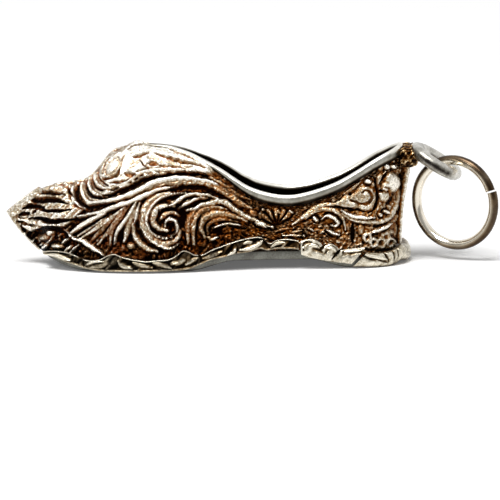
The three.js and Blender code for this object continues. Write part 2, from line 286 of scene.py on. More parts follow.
# Marks of the chaser's tools. Each is laid out in the side elevation: millimetres behind the toe
# point, and seen height.
@dataclass(frozen=True)
class Ridge:
    """A raised line: its height falls from the middle to nothing at its foot.

    Attributes:
        path: Points that its middle runs through.
        width: Width that shows at the fullest place.
        rise: Share of the full relief.
        flute: Depth of a hollow along its middle, as a share of its rise.
        ends: Shares of the width at its two ends.
        flat: Power of its profile, 2 for a round crest and more for a flat band.
        spread: Half of its foot, as a share of the width.
    """

    path: Path
    width: float
    rise: float = 1.0
    flute: float = 0.0
    ends: Pair = (0.5, 0.45)
    flat: float = 2.0
    spread: ClassVar[float] = 0.78

    def across(self, spots: Array, beyond: float) -> tuple[Array, Array, Array]:
        """Distance of places from the path.

        Args:
            spots: Places in the elevation.
            beyond: How far past the half width places still count.

        Returns:
            Numbers of the places within reach, their distances, and the half width beside them.
        """
        steps_per_point = 14
        curve = rail(self.path).even(steps_per_point * len(self.path))
        reach = self.spread * self.width
        low = curve.min(axis=0) - reach - beyond
        high = curve.max(axis=0) + reach + beyond
        near = np.flatnonzero(np.all((spots > low) & (spots < high), axis=1))
        gap = np.linalg.norm(spots[near, None, :] - curve[None, :, :], axis=2)
        share = gap.argmin(axis=1) / (len(curve) - 1.0)
        swell = 0.35
        start = blend(self.ends[0], 1.0, smooth(share / swell))
        end = blend(self.ends[1], 1.0, smooth((1.0 - share) / swell))
        return near, gap.min(axis=1, initial=np.inf), reach * start * end

    def crest(self, gap: Array, half: Array) -> Array:
        """Height from 0 to 1 at distances from the path: one less a power of the share of the half width,
        to a second power, hollowed along the middle by the flute."""
        flute_reach = 0.6
        fullness = 0.65
        share = gap / half
        hollow = np.clip(1.0 - (share / flute_reach) ** 2, 0.0, 1.0)
        return np.clip(1.0 - share**self.flat, 0.0, 1.0) ** fullness * (1.0 - self.flute * hollow)

    def carve(self, spots: Array, level: Array) -> None:
        """Lowers the ground, in place, under the ridge and in a trench of uneven depth, deeper below it."""
        trench = 0.12
        shift = np.array([0.0, 0.07])
        depth_mean, depth_swing, depth_wave = 0.42, 0.7, 1.2
        near, gap, half = self.across(spots + shift, trench)
        depth = np.clip(depth_mean + depth_swing * ripple(spots[near], depth_wave), 0.0, 1.0)
        level[near] *= 1.0 - depth * (1.0 - smooth(np.maximum(gap - half, 0.0) / trench))

    def strike(self, spots: Array, level: Array) -> None:
        """Raises the level of the relief, in place, where the ridge stands higher."""
        near, gap, half = self.across(spots, 0.0)
        level[near] = np.maximum(level[near], self.rise * self.crest(gap, half))


@dataclass(frozen=True)
class Cut(Ridge):
    """A line cut down into what is there; its rise is the share of the level that it takes away."""

    spread: ClassVar[float] = 0.6

    def carve(self, spots: Array, level: Array) -> None:
        """Leaves the ground for the strike."""

    def strike(self, spots: Array, level: Array) -> None:
        """Lowers the level of the relief, in place, along the path."""
        near, gap, half = self.across(spots, 0.0)
        level[near] *= 1.0 - self.rise * self.crest(gap, half)


@dataclass(frozen=True)
class Boss:
    """A raised oval: one less a power of the distance, in shares of its two radii, to a second power.

    Attributes:
        rise: Share of the full relief.
        flat: First power, more for a flatter top.
        steep: Second power, less for steeper sides.
        trench: Width of the lowered border round it.
    """

    centre: Pair
    radii: Pair
    rise: float = 1.0
    tilt: float = 0.0
    flat: float = 2.5
    steep: float = 0.4
    trench: float = 0.14

    def far(self, spots: Array, beyond: float) -> Array:
        """Distance of places from the centre, in shares of the radii with a border added."""
        turn = math.radians(self.tilt)
        away = spots - np.array(self.centre)
        along = away[:, 0] * math.cos(turn) + away[:, 1] * math.sin(turn)
        across = away[:, 1] * math.cos(turn) - away[:, 0] * math.sin(turn)
        return np.hypot(along / (self.radii[0] + beyond), across / (self.radii[1] + beyond))

    def carve(self, spots: Array, level: Array) -> None:
        """Lowers the ground, in place, under the oval and in a narrow trench round it."""
        depth = 0.5
        steepness = 6
        level *= 1.0 - depth * np.clip(1.0 - self.far(spots, self.trench) ** steepness, 0.0, 1.0)

    def strike(self, spots: Array, level: Array) -> None:
        """Raises the level of the relief, in place, over the oval."""
        dome = np.clip(1.0 - self.far(spots, 0.0) ** self.flat, 0.0, 1.0) ** self.steep
        np.maximum(level, self.rise * dome, out=level)


Marks = tuple[Ridge | Cut | Boss, ...]

# Line above which the metal is pale, partly rubbed and partly a painted highlight where the top faces up:
# over the ribs of the toe, the arcs and the vamp.
PALE_FROM: Path = (
    ((-1.0, 2.6), (2.0, 2.6), (4.2, 2.7), (4.9, 3.2), (5.6, 3.9), (6.4, 4.4), (7.4, 5.0))
    + ((8.6, 5.5), (9.8, 6.0), (10.9, 6.4), (13.2, 6.75), (15.0, 6.6), (31.0, 6.4))
)

# The shell of the toe: a pale plateau parted into ribs by deep wedges, over a dark broken hollow.
TOE: Marks = (
    Ridge(((0.9, 3.46), (1.6, 3.28), (2.3, 3.16), (3.0, 3.0), (4.0, 2.96)), 0.34, 0.95),
    Ridge(((1.2, 2.95), (1.7, 2.74), (2.3, 2.82)), 0.36, 0.95),
    Boss((3.2, 2.42), (0.34, 0.32), 1.0, 0.0, 2.0, 1.0),
    Boss((2.6, 2.02), (0.6, 0.3), 0.7, 8.0, 2.0, 1.0),
    Boss((3.7, 1.38), (0.6, 0.26), 0.9, -6.0, 2.0, 1.0),
    Ridge(((3.9, 2.64), (4.4, 2.38), (5.0, 2.08)), 0.26, 0.85),
    Cut(((2.45, 5.46), (3.0, 5.42), (3.6, 5.36), (4.4, 5.22)), 0.3, 0.85, 0.0, (1.0, 0.35)),
    Cut(((2.0, 4.86), (2.6, 4.84), (3.2, 4.88), (3.8, 4.82), (4.6, 4.55)), 0.46, 1.0, 0.0, (1.0, 0.25)),
    Cut(((1.2, 4.2), (1.7, 4.4), (2.3, 4.36), (2.8, 4.22)), 0.38, 1.0, 0.0, (0.4, 0.7)),
    Cut(((2.5, 4.1), (3.2, 4.04), (3.9, 4.04), (4.8, 4.1)), 0.24, 0.95),
    Cut(((0.95, 3.72), (1.35, 3.85), (1.75, 3.86)), 0.3, 0.9),
    Cut(((1.95, 3.9), (2.3, 4.15)), 0.26, 0.9),
    Cut(
        ((1.6, 3.52), (2.4, 3.48), (3.0, 3.32), (3.6, 3.26), (4.3, 3.32), (5.5, 3.44)),
        0.36, ends=(0.3, 0.35),
    ),
    Cut(((2.2, 2.6), (2.8, 2.76), (3.4, 2.74), (3.9, 2.62), (4.5, 2.2)), 0.36, 1.0, 0.0, (0.6, 1.0)),
    Cut(((1.55, 2.4), (1.85, 2.0)), 0.34, 0.95),
    Cut(((2.15, 3.3), (2.4, 3.1)), 0.16, 0.6),
)

# Arcs that curl round the boss of the vamp, and the strands that sweep from them to the waist.
SWEEP: Marks = (
    Ridge(((5.15, 6.15), (4.95, 5.6), (5.0, 5.05), (5.35, 4.5), (5.9, 4.2)), 0.24, 0.8),
    Ridge(((5.8, 6.4), (5.65, 5.8), (5.75, 5.2), (6.1, 4.75), (6.7, 4.58)), 0.26, 0.88),
    Ridge(((6.35, 6.75), (6.2, 6.1), (6.4, 5.5), (6.85, 5.2), (7.5, 5.06)), 0.22, 0.84),
    Ridge(((6.85, 7.1), (6.68, 6.5), (6.9, 5.98), (7.3, 5.7), (8.0, 5.66)), 0.22, 0.88),
    Cut(((4.6, 6.05), (4.75, 5.5), (5.05, 5.05)), 0.16, 0.7),
    Cut(((5.55, 6.3), (5.3, 5.6), (5.35, 5.0), (5.65, 4.55), (6.3, 4.2)), 0.3, 0.95, 0.0, (0.35, 1.0)),
    Cut(((6.1, 6.5), (6.05, 5.65), (6.35, 5.15), (7.1, 4.95)), 0.24, 0.9, 0.0, (0.4, 1.0)),
    Cut(((6.6, 6.9), (6.5, 6.2), (6.75, 5.7), (7.2, 5.45)), 0.16, 0.7),
    Cut(((7.05, 7.3), (6.95, 6.6), (7.3, 6.1), (7.7, 5.8)), 0.16, 0.6),
    Cut(((6.2, 4.22), (6.8, 4.34), (7.5, 4.5), (8.5, 4.62)), 0.2, 0.95),
    Ridge(
        ((6.1, 4.56), (7.0, 4.66), (8.0, 4.8), (9.0, 5.1), (10.0, 5.5), (10.6, 5.85))
        + ((11.2, 6.1), (12.0, 6.28), (13.0, 6.36), (14.0, 6.27), (15.0, 6.1), (15.7, 5.85)),
        0.4,
        0.96,
    ),
    Ridge(((9.4, 5.08), (10.2, 5.46), (11.0, 5.78), (12.0, 6.0), (13.0, 6.06), (13.9, 6.0)), 0.36, 0.62),
    Ridge(
        ((5.4, 3.62), (6.2, 3.72), (7.0, 3.88), (7.6, 4.12), (8.5, 4.42), (9.2, 4.62))
        + ((9.8, 4.86), (10.5, 5.16), (11.2, 5.46), (12.0, 5.64), (12.8, 5.74)),
        0.32,
    ),
    Ridge(((4.85, 2.4), (5.5, 2.85), (6.2, 3.25), (6.8, 3.55), (7.4, 3.8)), 0.28),
    Ridge(
        ((13.6, 6.0), (14.6, 6.05), (15.4, 5.85), (16.0, 5.5), (16.8, 4.98), (17.5, 4.5), (18.2, 4.15)),
        0.5,
        0.6,
    ),
    Ridge(((15.2, 6.5), (16.0, 6.05), (16.8, 5.5), (17.4, 5.1), (18.2, 4.75)), 0.24, 0.5),
    Cut(((5.0, 3.25), (5.8, 3.42), (6.8, 3.72)), 0.16, 0.9),
    Cut(
        ((12.2, 5.5), (13.0, 5.7), (13.8, 5.74), (14.6, 5.7), (15.2, 5.5), (16.0, 5.1), (16.8, 4.62)),
        0.34,
        0.95,
    ),
)

# Rays that fan down to the ball of the foot, with the fold of the toe below them.
RAYS: Marks = (
    Ridge(((5.25, 2.15), (6.0, 2.65), (6.8, 3.15), (7.5, 3.5)), 0.22, 0.6),
    Ridge(((5.55, 2.0), (6.2, 2.4), (6.8, 2.78), (7.3, 3.15), (7.9, 3.55), (8.8, 4.2)), 0.24, 0.82, 0.25),
    Ridge(((6.2, 1.7), (6.55, 2.1), (7.0, 2.5), (7.5, 3.0), (8.1, 3.5)), 0.22, 0.45),
    Ridge(((6.8, 1.5), (7.3, 2.1), (7.7, 2.64), (8.1, 3.15), (8.6, 3.9), (8.9, 4.25)), 0.26, 0.64, 0.25),
    Ridge(
        ((7.65, 1.45), (7.75, 2.1), (7.95, 2.65), (8.35, 3.25), (8.9, 3.95), (9.25, 4.4)),
        0.24, 0.56, 0.25,
    ),
    Ridge(((8.05, 1.5), (8.2, 2.3), (8.6, 2.9), (9.1, 3.6), (9.5, 4.2), (9.75, 4.65)), 0.24, 0.95),
    Ridge(((8.75, 1.7), (8.95, 2.4), (9.2, 3.1), (9.55, 3.8), (10.0, 4.6)), 0.38, 0.66),
    Ridge(((9.95, 4.5), (9.75, 3.8), (9.6, 3.1)), 0.22, 0.95),
    Ridge(((9.45, 3.0), (9.5, 2.2), (9.9, 1.6), (10.5, 1.15), (11.2, 0.95)), 0.38, 0.64),
    Ridge(((4.95, 1.95), (5.6, 1.8), (6.1, 1.45), (6.6, 1.12), (7.25, 0.72)), 0.3),
    Boss((9.25, 1.35), (0.4, 0.34), 0.58, -15.0, 2.0, 1.0, 0.04),
    Cut(((4.95, 2.2), (5.6, 2.6), (6.5, 3.12), (7.3, 3.6)), 0.22, 1.0),
    Cut(((8.45, 1.3), (8.5, 2.0), (8.62, 2.4)), 0.3, 1.0),
    Cut(((9.2, 1.75), (9.25, 2.25)), 0.34, 1.0),
    Cut(((7.2, 1.6), (7.4, 2.0)), 0.3, 1.0),
)

# The boss, and the thin cuts of the leaves in the pale field behind it.
VAMP_FIELD: Marks = (
    Boss((8.05, 7.25), (0.82, 0.42), 0.95, 52.0, 2.5, 0.4, 0.03),
    Ridge(
        ((8.0, 5.72), (8.8, 5.98), (9.4, 6.3), (10.0, 6.75), (10.8, 6.93), (12.0, 7.0), (13.0, 6.97))
        + ((14.2, 6.8),),
        0.22,
    ),
    Cut(((7.35, 6.35), (7.9, 6.45), (8.4, 6.75), (8.65, 7.15)), 0.3, 0.62, 0.0, (0.7, 0.35)),
    Cut(((7.3, 6.75), (7.35, 7.2), (7.7, 7.75), (8.3, 8.05)), 0.14, 0.42),
    Cut(((8.7, 7.2), (8.75, 7.7), (9.0, 8.1)), 0.14, 0.35),
    Cut(((7.85, 6.0), (8.4, 6.08), (9.0, 6.16)), 0.2, 0.55),
    Cut(((8.95, 6.7), (9.3, 6.68), (9.7, 6.6)), 0.34, 0.55),
    Cut(((9.2, 7.1), (9.6, 7.5), (10.1, 7.95)), 0.6, 0.22),
    Cut(((12.0, 7.52), (13.0, 7.3), (13.9, 7.1)), 0.34, 0.28),
    Cut(((8.3, 6.5), (8.8, 6.42), (9.5, 6.5)), 0.4, 0.25),
    Cut(((9.6, 7.92), (10.2, 8.05), (10.7, 8.15)), 0.24, 0.5),
    Cut(((7.6, 8.2), (8.4, 8.7), (9.2, 8.9)), 0.9, 0.4),
    Cut(((9.2, 8.45), (9.6, 8.72), (10.3, 8.78), (11.0, 8.7), (12.0, 8.52), (12.6, 8.38)), 0.14, 0.55),
    Cut(((10.65, 7.38), (11.05, 7.42), (11.35, 7.32)), 0.4, 0.54),
    Cut(((10.7, 7.85), (11.2, 7.7), (11.7, 7.5)), 0.5, 0.22),
    Cut(((10.1, 7.62), (10.25, 7.36), (10.55, 7.14), (11.0, 7.08)), 0.14, 0.55),
    Cut(((11.4, 7.26), (12.4, 7.2), (13.3, 7.05)), 0.18, 0.5),
    Cut(((11.1, 8.18), (12.0, 7.86), (13.0, 7.58), (14.0, 7.36), (14.8, 7.05)), 0.26, 0.66, 0.0, (0.6, 0.6)),
    Cut(((12.2, 8.42), (12.8, 8.2), (13.5, 7.9), (14.3, 7.5)), 0.2, 0.55),
    Cut(
        ((7.3, 5.12), (8.0, 5.25), (8.6, 5.5), (9.3, 5.76), (9.8, 6.04), (10.3, 6.3))
        + ((10.9, 6.42), (11.6, 6.52), (12.4, 6.68), (13.2, 6.76), (14.2, 6.74), (15.0, 6.6)),
        0.28,
        1.0,
    ),
)

# The great scroll behind the ball: flat bands between bright edges, with the leaves on its shoulder.
GREAT_SCROLL: Marks = (
    Ridge(
        ((12.2, 5.3), (11.4, 5.1), (10.8, 4.75), (10.4, 4.2), (10.2, 3.6), (10.2, 3.0))
        + ((10.45, 2.35), (10.95, 1.8), (11.6, 1.5), (12.3, 1.6), (12.75, 2.0), (12.9, 2.4)),
        0.52,
        0.66,
    ),
    Ridge(
        ((12.5, 4.3), (11.7, 4.35), (11.2, 4.05), (10.95, 3.5), (11.0, 3.0), (11.4, 2.62), (12.0, 2.5)),
        0.44,
        0.68,
    ),
    Ridge(((11.5, 3.35), (11.8, 3.65), (12.3, 3.85), (12.9, 3.6)), 0.3, 0.55),
    Ridge(((12.3, 4.6), (13.2, 4.74), (14.2, 4.92), (15.0, 4.86)), 0.4, 0.6),
    Ridge(
        ((13.4, 5.24), (12.5, 5.18), (11.8, 4.98), (11.2, 4.68), (10.8, 4.2), (10.52, 3.6), (10.5, 3.0))
        + ((10.75, 2.5), (11.2, 2.12), (11.8, 1.92), (12.35, 2.0)),
        0.2,
    ),
    Ridge(((10.0, 2.9), (10.3, 2.3), (10.85, 1.7), (11.5, 1.3), (12.2, 1.15), (12.9, 1.55)), 0.18, 0.95),
    Ridge(
        ((11.85, 2.75), (11.92, 3.15), (12.2, 3.36), (12.55, 3.2), (12.72, 2.8), (12.65, 2.4), (12.25, 2.1)),
        0.24,
    ),
    Ridge(
        ((11.6, 4.15), (12.3, 4.36), (12.75, 4.66), (13.2, 4.95), (13.8, 5.15), (14.6, 5.12), (15.2, 5.0))
        + ((15.8, 4.72),),
        0.22,
    ),
    Ridge(((12.9, 4.16), (13.4, 4.45), (14.0, 4.75), (14.6, 4.93)), 0.22, 0.95),
    Cut(((10.62, 3.1), (10.85, 2.62), (11.3, 2.3), (11.9, 2.22), (12.45, 2.42)), 0.22, 1.0),
    Cut(((11.38, 4.05), (11.35, 3.5)), 0.14, 0.9),
    Cut(((11.6, 4.02), (12.4, 4.08), (13.0, 3.9)), 0.26, 1.0),
    Cut(((13.15, 4.0), (13.15, 3.4), (13.1, 2.8)), 0.56, 1.0),
    Cut(((12.2, 2.85), (12.3, 2.6)), 0.3, 0.9),
    Cut(((13.0, 4.55), (13.6, 4.86), (14.3, 4.98)), 0.16, 0.85),
    Cut(((13.75, 4.15), (14.2, 4.42), (14.9, 4.72), (15.4, 4.78)), 0.18, 0.9),
)

# The second scroll and the two bands that run on from it along the waist.
SECOND_SCROLL: Marks = (
    Ridge(((13.5, 1.5), (13.5, 2.4), (13.55, 3.0), (13.85, 3.7), (14.3, 4.1)), 0.36, 0.5),
    Ridge(
        ((13.95, 1.4), (13.9, 2.4), (14.0, 3.1), (14.25, 3.66), (14.8, 4.06), (15.6, 4.2), (16.4, 4.04)),
        0.38,
        0.58,
    ),
    Ridge(
        ((14.75, 2.0), (14.5, 2.5), (14.55, 3.1), (14.9, 3.5), (15.5, 3.72), (16.3, 3.7))
        + ((17.0, 3.5), (17.9, 3.15)),
        0.44,
        0.62,
    ),
    Ridge(((15.0, 2.2), (14.95, 2.7), (15.25, 3.1), (15.8, 3.3), (16.5, 3.28), (17.2, 3.1)), 0.26, 0.44),
    Ridge(
        ((13.5, 3.98), (14.0, 4.08), (14.5, 4.38), (15.2, 4.5), (15.8, 4.64), (16.4, 4.5))
        + ((17.0, 4.02), (17.6, 3.62), (18.2, 3.32), (19.0, 2.98), (19.6, 2.7)),
        0.34,
        0.86,
    ),
    Ridge(((15.35, 2.62), (15.9, 2.86), (16.6, 2.96), (17.2, 2.86), (17.7, 2.68)), 0.18, 0.8),
    Ridge(((14.9, 2.0), (15.3, 1.82), (15.7, 2.0)), 0.26, 0.62),
    Cut(((15.3, 2.3), (15.75, 2.36), (16.1, 2.2)), 0.5, 0.9),
    Cut(((14.2, 1.9), (14.15, 2.6), (14.26, 3.2), (14.52, 3.68)), 0.14, 0.95),
)


def petals(centre: Pair, angles: tuple[float, ...], near: float, far: float) -> Marks:
    """Straight ridges that spread from a point, wider outside, with a cut beside each.

    Args:
        centre: Point that they spread from.
        angles: Degrees from the direction of the heel.
        near: Distance of their inner ends.
        far: Distance of their outer ends.

    Returns:
        One ridge for each angle, then one cut for each.
    """
    half_step = 12.0

    def spoke(angle: float) -> Path:
        """Straight path at an angle, from the inner to the outer distance."""
        across = math.cos(math.radians(angle))
        up = math.sin(math.radians(angle))
        return tuple((centre[0] + r * across, centre[1] + r * up) for r in (near, far))

    ridges = tuple(Ridge(spoke(angle), width=0.28, rise=0.46, ends=(0.3, 1.0)) for angle in angles)
    cuts = tuple(Cut(spoke(angle - half_step), width=0.16, rise=0.95, ends=(0.8, 0.8)) for angle in angles)
    return ridges + cuts


def loop_ridge(centre: Pair, radius: float, width: float, rise: float) -> Ridge:
    """Ridge round a circle, closed by a last point on the first."""
    corners = 8
    turns = [2.0 * math.pi * k / corners for k in range(corners + 1)]
    path = tuple((centre[0] + radius * math.cos(t), centre[1] + radius * math.sin(t)) for t in turns)
    return Ridge(path, width, rise, ends=(1.0, 1.0))


# Petals at the waist, and the third scroll behind them.
WAIST: Marks = petals((20.05, 2.75), (165.0, 140.0, 116.0, 92.0, 66.0, 44.0), 0.25, 1.3) + (
    Ridge(
        ((21.2, 2.88), (21.8, 3.24), (22.3, 3.6), (22.8, 3.98), (23.4, 4.26), (24.1, 4.34), (24.9, 4.36)),
        0.34,
        0.68,
    ),
    Ridge(
        ((22.2, 3.28), (22.7, 3.66), (23.2, 3.9), (23.8, 3.98), (24.4, 3.82), (24.8, 3.5))
        + ((25.06, 3.0), (25.1, 2.4)),
        0.3,
        0.62,
    ),
    Ridge(((18.5, 3.02), (19.3, 2.68)), 0.28, 0.95),
    Ridge(
        ((23.4, 3.2), (23.7, 3.44), (24.05, 3.42), (24.45, 3.2), (24.6, 2.9), (24.35, 2.72), (24.05, 2.8)),
        0.24,
        0.85,
    ),
    Ridge(((23.75, 2.42), (24.15, 2.2), (24.65, 2.06)), 0.26, 0.9),
    Ridge(((20.5, 2.02), (21.3, 2.06), (22.0, 2.0)), 0.18, 0.7),
    Ridge(((21.1, 2.25), (21.9, 2.4)), 0.18, 0.6),
    Ridge(((22.3, 2.6), (22.8, 2.36)), 0.18, 0.7),
    Ridge(((19.9, 2.3), (20.5, 2.5), (21.3, 2.6)), 0.16, 0.5),
    Boss((18.35, 3.75), (0.34, 0.4), 0.52, 30.0, 2.0, 0.7),
    Boss((18.88, 3.62), (0.24, 0.36), 0.58, -20.0, 2.0, 0.7),
    Boss((19.72, 2.66), (0.16, 0.16), 1.0),
    Boss((20.2, 3.84), (0.26, 0.2), 0.62, -40.0, 2.0, 0.8),
    Boss((21.12, 3.8), (0.3, 0.18), 0.66, -30.0, 2.0, 0.8),
    Boss((19.1, 4.0), (0.2, 0.14), 0.6),
    Boss((22.95, 3.24), (0.34, 0.19), 1.0, -45.0, 2.0, 0.6),
    Boss((23.95, 3.1), (0.42, 0.24), 0.34),
    Boss((22.05, 2.0), (0.12, 0.12), 1.0),
)

# The heel scroll with its disc, the leaf behind it, and the lattice under them.
HEEL_SCROLL: Marks = (
    Boss((26.62, 4.72), (0.92, 1.02), 0.68, 0.0, 6.0, 0.6, 0.08),
    Boss((28.75, 5.92), (0.62, 0.85), 0.97, 4.0, 3.0, 0.6, 0.06),
    Boss((28.2, 5.6), (0.36, 0.42), 0.88, -20.0, 2.5, 0.7, 0.06),
    Boss((28.05, 4.85), (0.54, 0.5), 0.78, -20.0, 2.5, 0.7, 0.06),
    Boss((27.76, 6.15), (0.3, 0.52), 0.64, -15.0, 2.5, 0.7, 0.06),
    Boss((27.85, 6.98), (0.34, 0.28), 0.56, 20.0, 2.0, 0.7, 0.06),
    Boss((27.35, 6.72), (0.28, 0.2), 0.48, 30.0, 2.0, 0.7, 0.06),
    Boss((28.32, 7.06), (0.28, 0.22), 0.95, 0.0, 2.5, 0.5, 0.06),
    Boss((28.82, 7.04), (0.26, 0.2), 0.9, 0.0, 2.5, 0.5, 0.06),
    Boss((28.9, 7.5), (0.24, 0.22), 0.58, 0.0, 2.0, 0.7, 0.06),
    Boss((26.28, 2.4), (0.3, 0.48), 0.62, 0.0, 2.5, 0.7),
    Boss((28.5, 2.2), (0.46, 0.28), 0.62, 10.0, 2.5, 0.7, 0.06),
    Boss((29.0, 2.3), (0.24, 0.75), 0.56, 0.0, 2.5, 0.7, 0.06),
    Boss((26.86, 5.98), (0.3, 0.2), 1.0),
    Boss((28.25, 3.72), (0.28, 0.16), 0.9, -30.0),
    Boss((27.8, 3.48), (0.18, 0.16), 0.7),
    Ridge(((24.6, 4.36), (25.3, 4.46), (25.9, 4.58), (26.4, 4.7)), 0.78, 0.68, 0.0, (0.35, 1.0), 4.0),
    Ridge(((25.1, 5.08), (25.7, 5.5), (26.3, 5.95)), 0.26, 0.55),
    Ridge(((24.85, 3.86), (25.35, 3.56), (25.9, 3.37), (26.6, 3.3), (27.3, 3.3)), 0.26),
    Ridge(
        ((24.95, 3.58), (25.5, 3.22), (26.2, 3.02), (27.0, 2.98), (27.6, 2.96), (28.15, 3.1))
        + ((28.65, 3.5), (29.0, 4.2), (29.22, 5.0), (29.42, 5.9), (29.44, 6.9)),
        0.3,
        0.7,
    ),
    Ridge(((26.9, 2.14), (27.5, 2.34), (28.05, 2.58), (28.55, 2.86)), 0.28, 0.88),
    Ridge(((26.2, 1.16), (27.0, 1.08), (28.0, 1.06), (28.8, 1.2)), 0.22, 0.5),
    loop_ridge((26.75, 1.84), 0.26, 0.24, 0.66),
    loop_ridge((27.2, 1.46), 0.27, 0.24, 0.74),
    loop_ridge((27.78, 1.42), 0.3, 0.24, 0.7),
    loop_ridge((28.15, 1.84), 0.26, 0.24, 0.64),
    loop_ridge((28.5, 1.42), 0.3, 0.24, 0.74),
    Cut(
        ((25.6, 4.62), (26.1, 4.4), (26.55, 4.3), (26.95, 4.5), (27.16, 4.85), (26.98, 5.18), (26.7, 5.34))
        + ((26.42, 5.15),),
        0.24, 0.55, 0.0, (0.7, 0.5),
    ),
    Boss((26.6, 5.02), (0.2, 0.14), 1.0, 0.0, 2.5, 0.4, 0.0),
    Cut(
        ((26.95, 6.4), (27.4, 6.15), (27.48, 5.6), (27.62, 5.0), (27.55, 4.4), (27.25, 3.85), (26.8, 3.65)),
        0.2,
        1.0,
    ),
    Cut(((25.5, 4.95), (25.5, 5.1)), 0.26, 0.95),
    Cut(((24.3, 4.08), (25.3, 4.0), (26.0, 3.86), (26.7, 3.72)), 0.14, 0.95),
    Cut(((27.78, 5.85), (28.1, 6.3), (28.42, 6.85)), 0.22, 0.8),
    Cut(((27.72, 5.35), (28.0, 5.2)), 0.26, 0.7),
    Cut(((28.0, 5.56), (28.5, 5.5)), 0.12, 0.4),
    Cut(((28.6, 7.6), (28.52, 7.0)), 0.14, 0.8),
    Cut(((28.2, 4.2), (28.6, 4.5), (28.85, 5.0)), 0.26, 0.9),
    Cut(((25.62, 1.5), (25.65, 2.9)), 0.3, 1.0),
)

UPPER_MARKS = TOE + SWEEP + RAYS + VAMP_FIELD + GREAT_SCROLL + SECOND_SCROLL + WAIST + HEEL_SCROLL


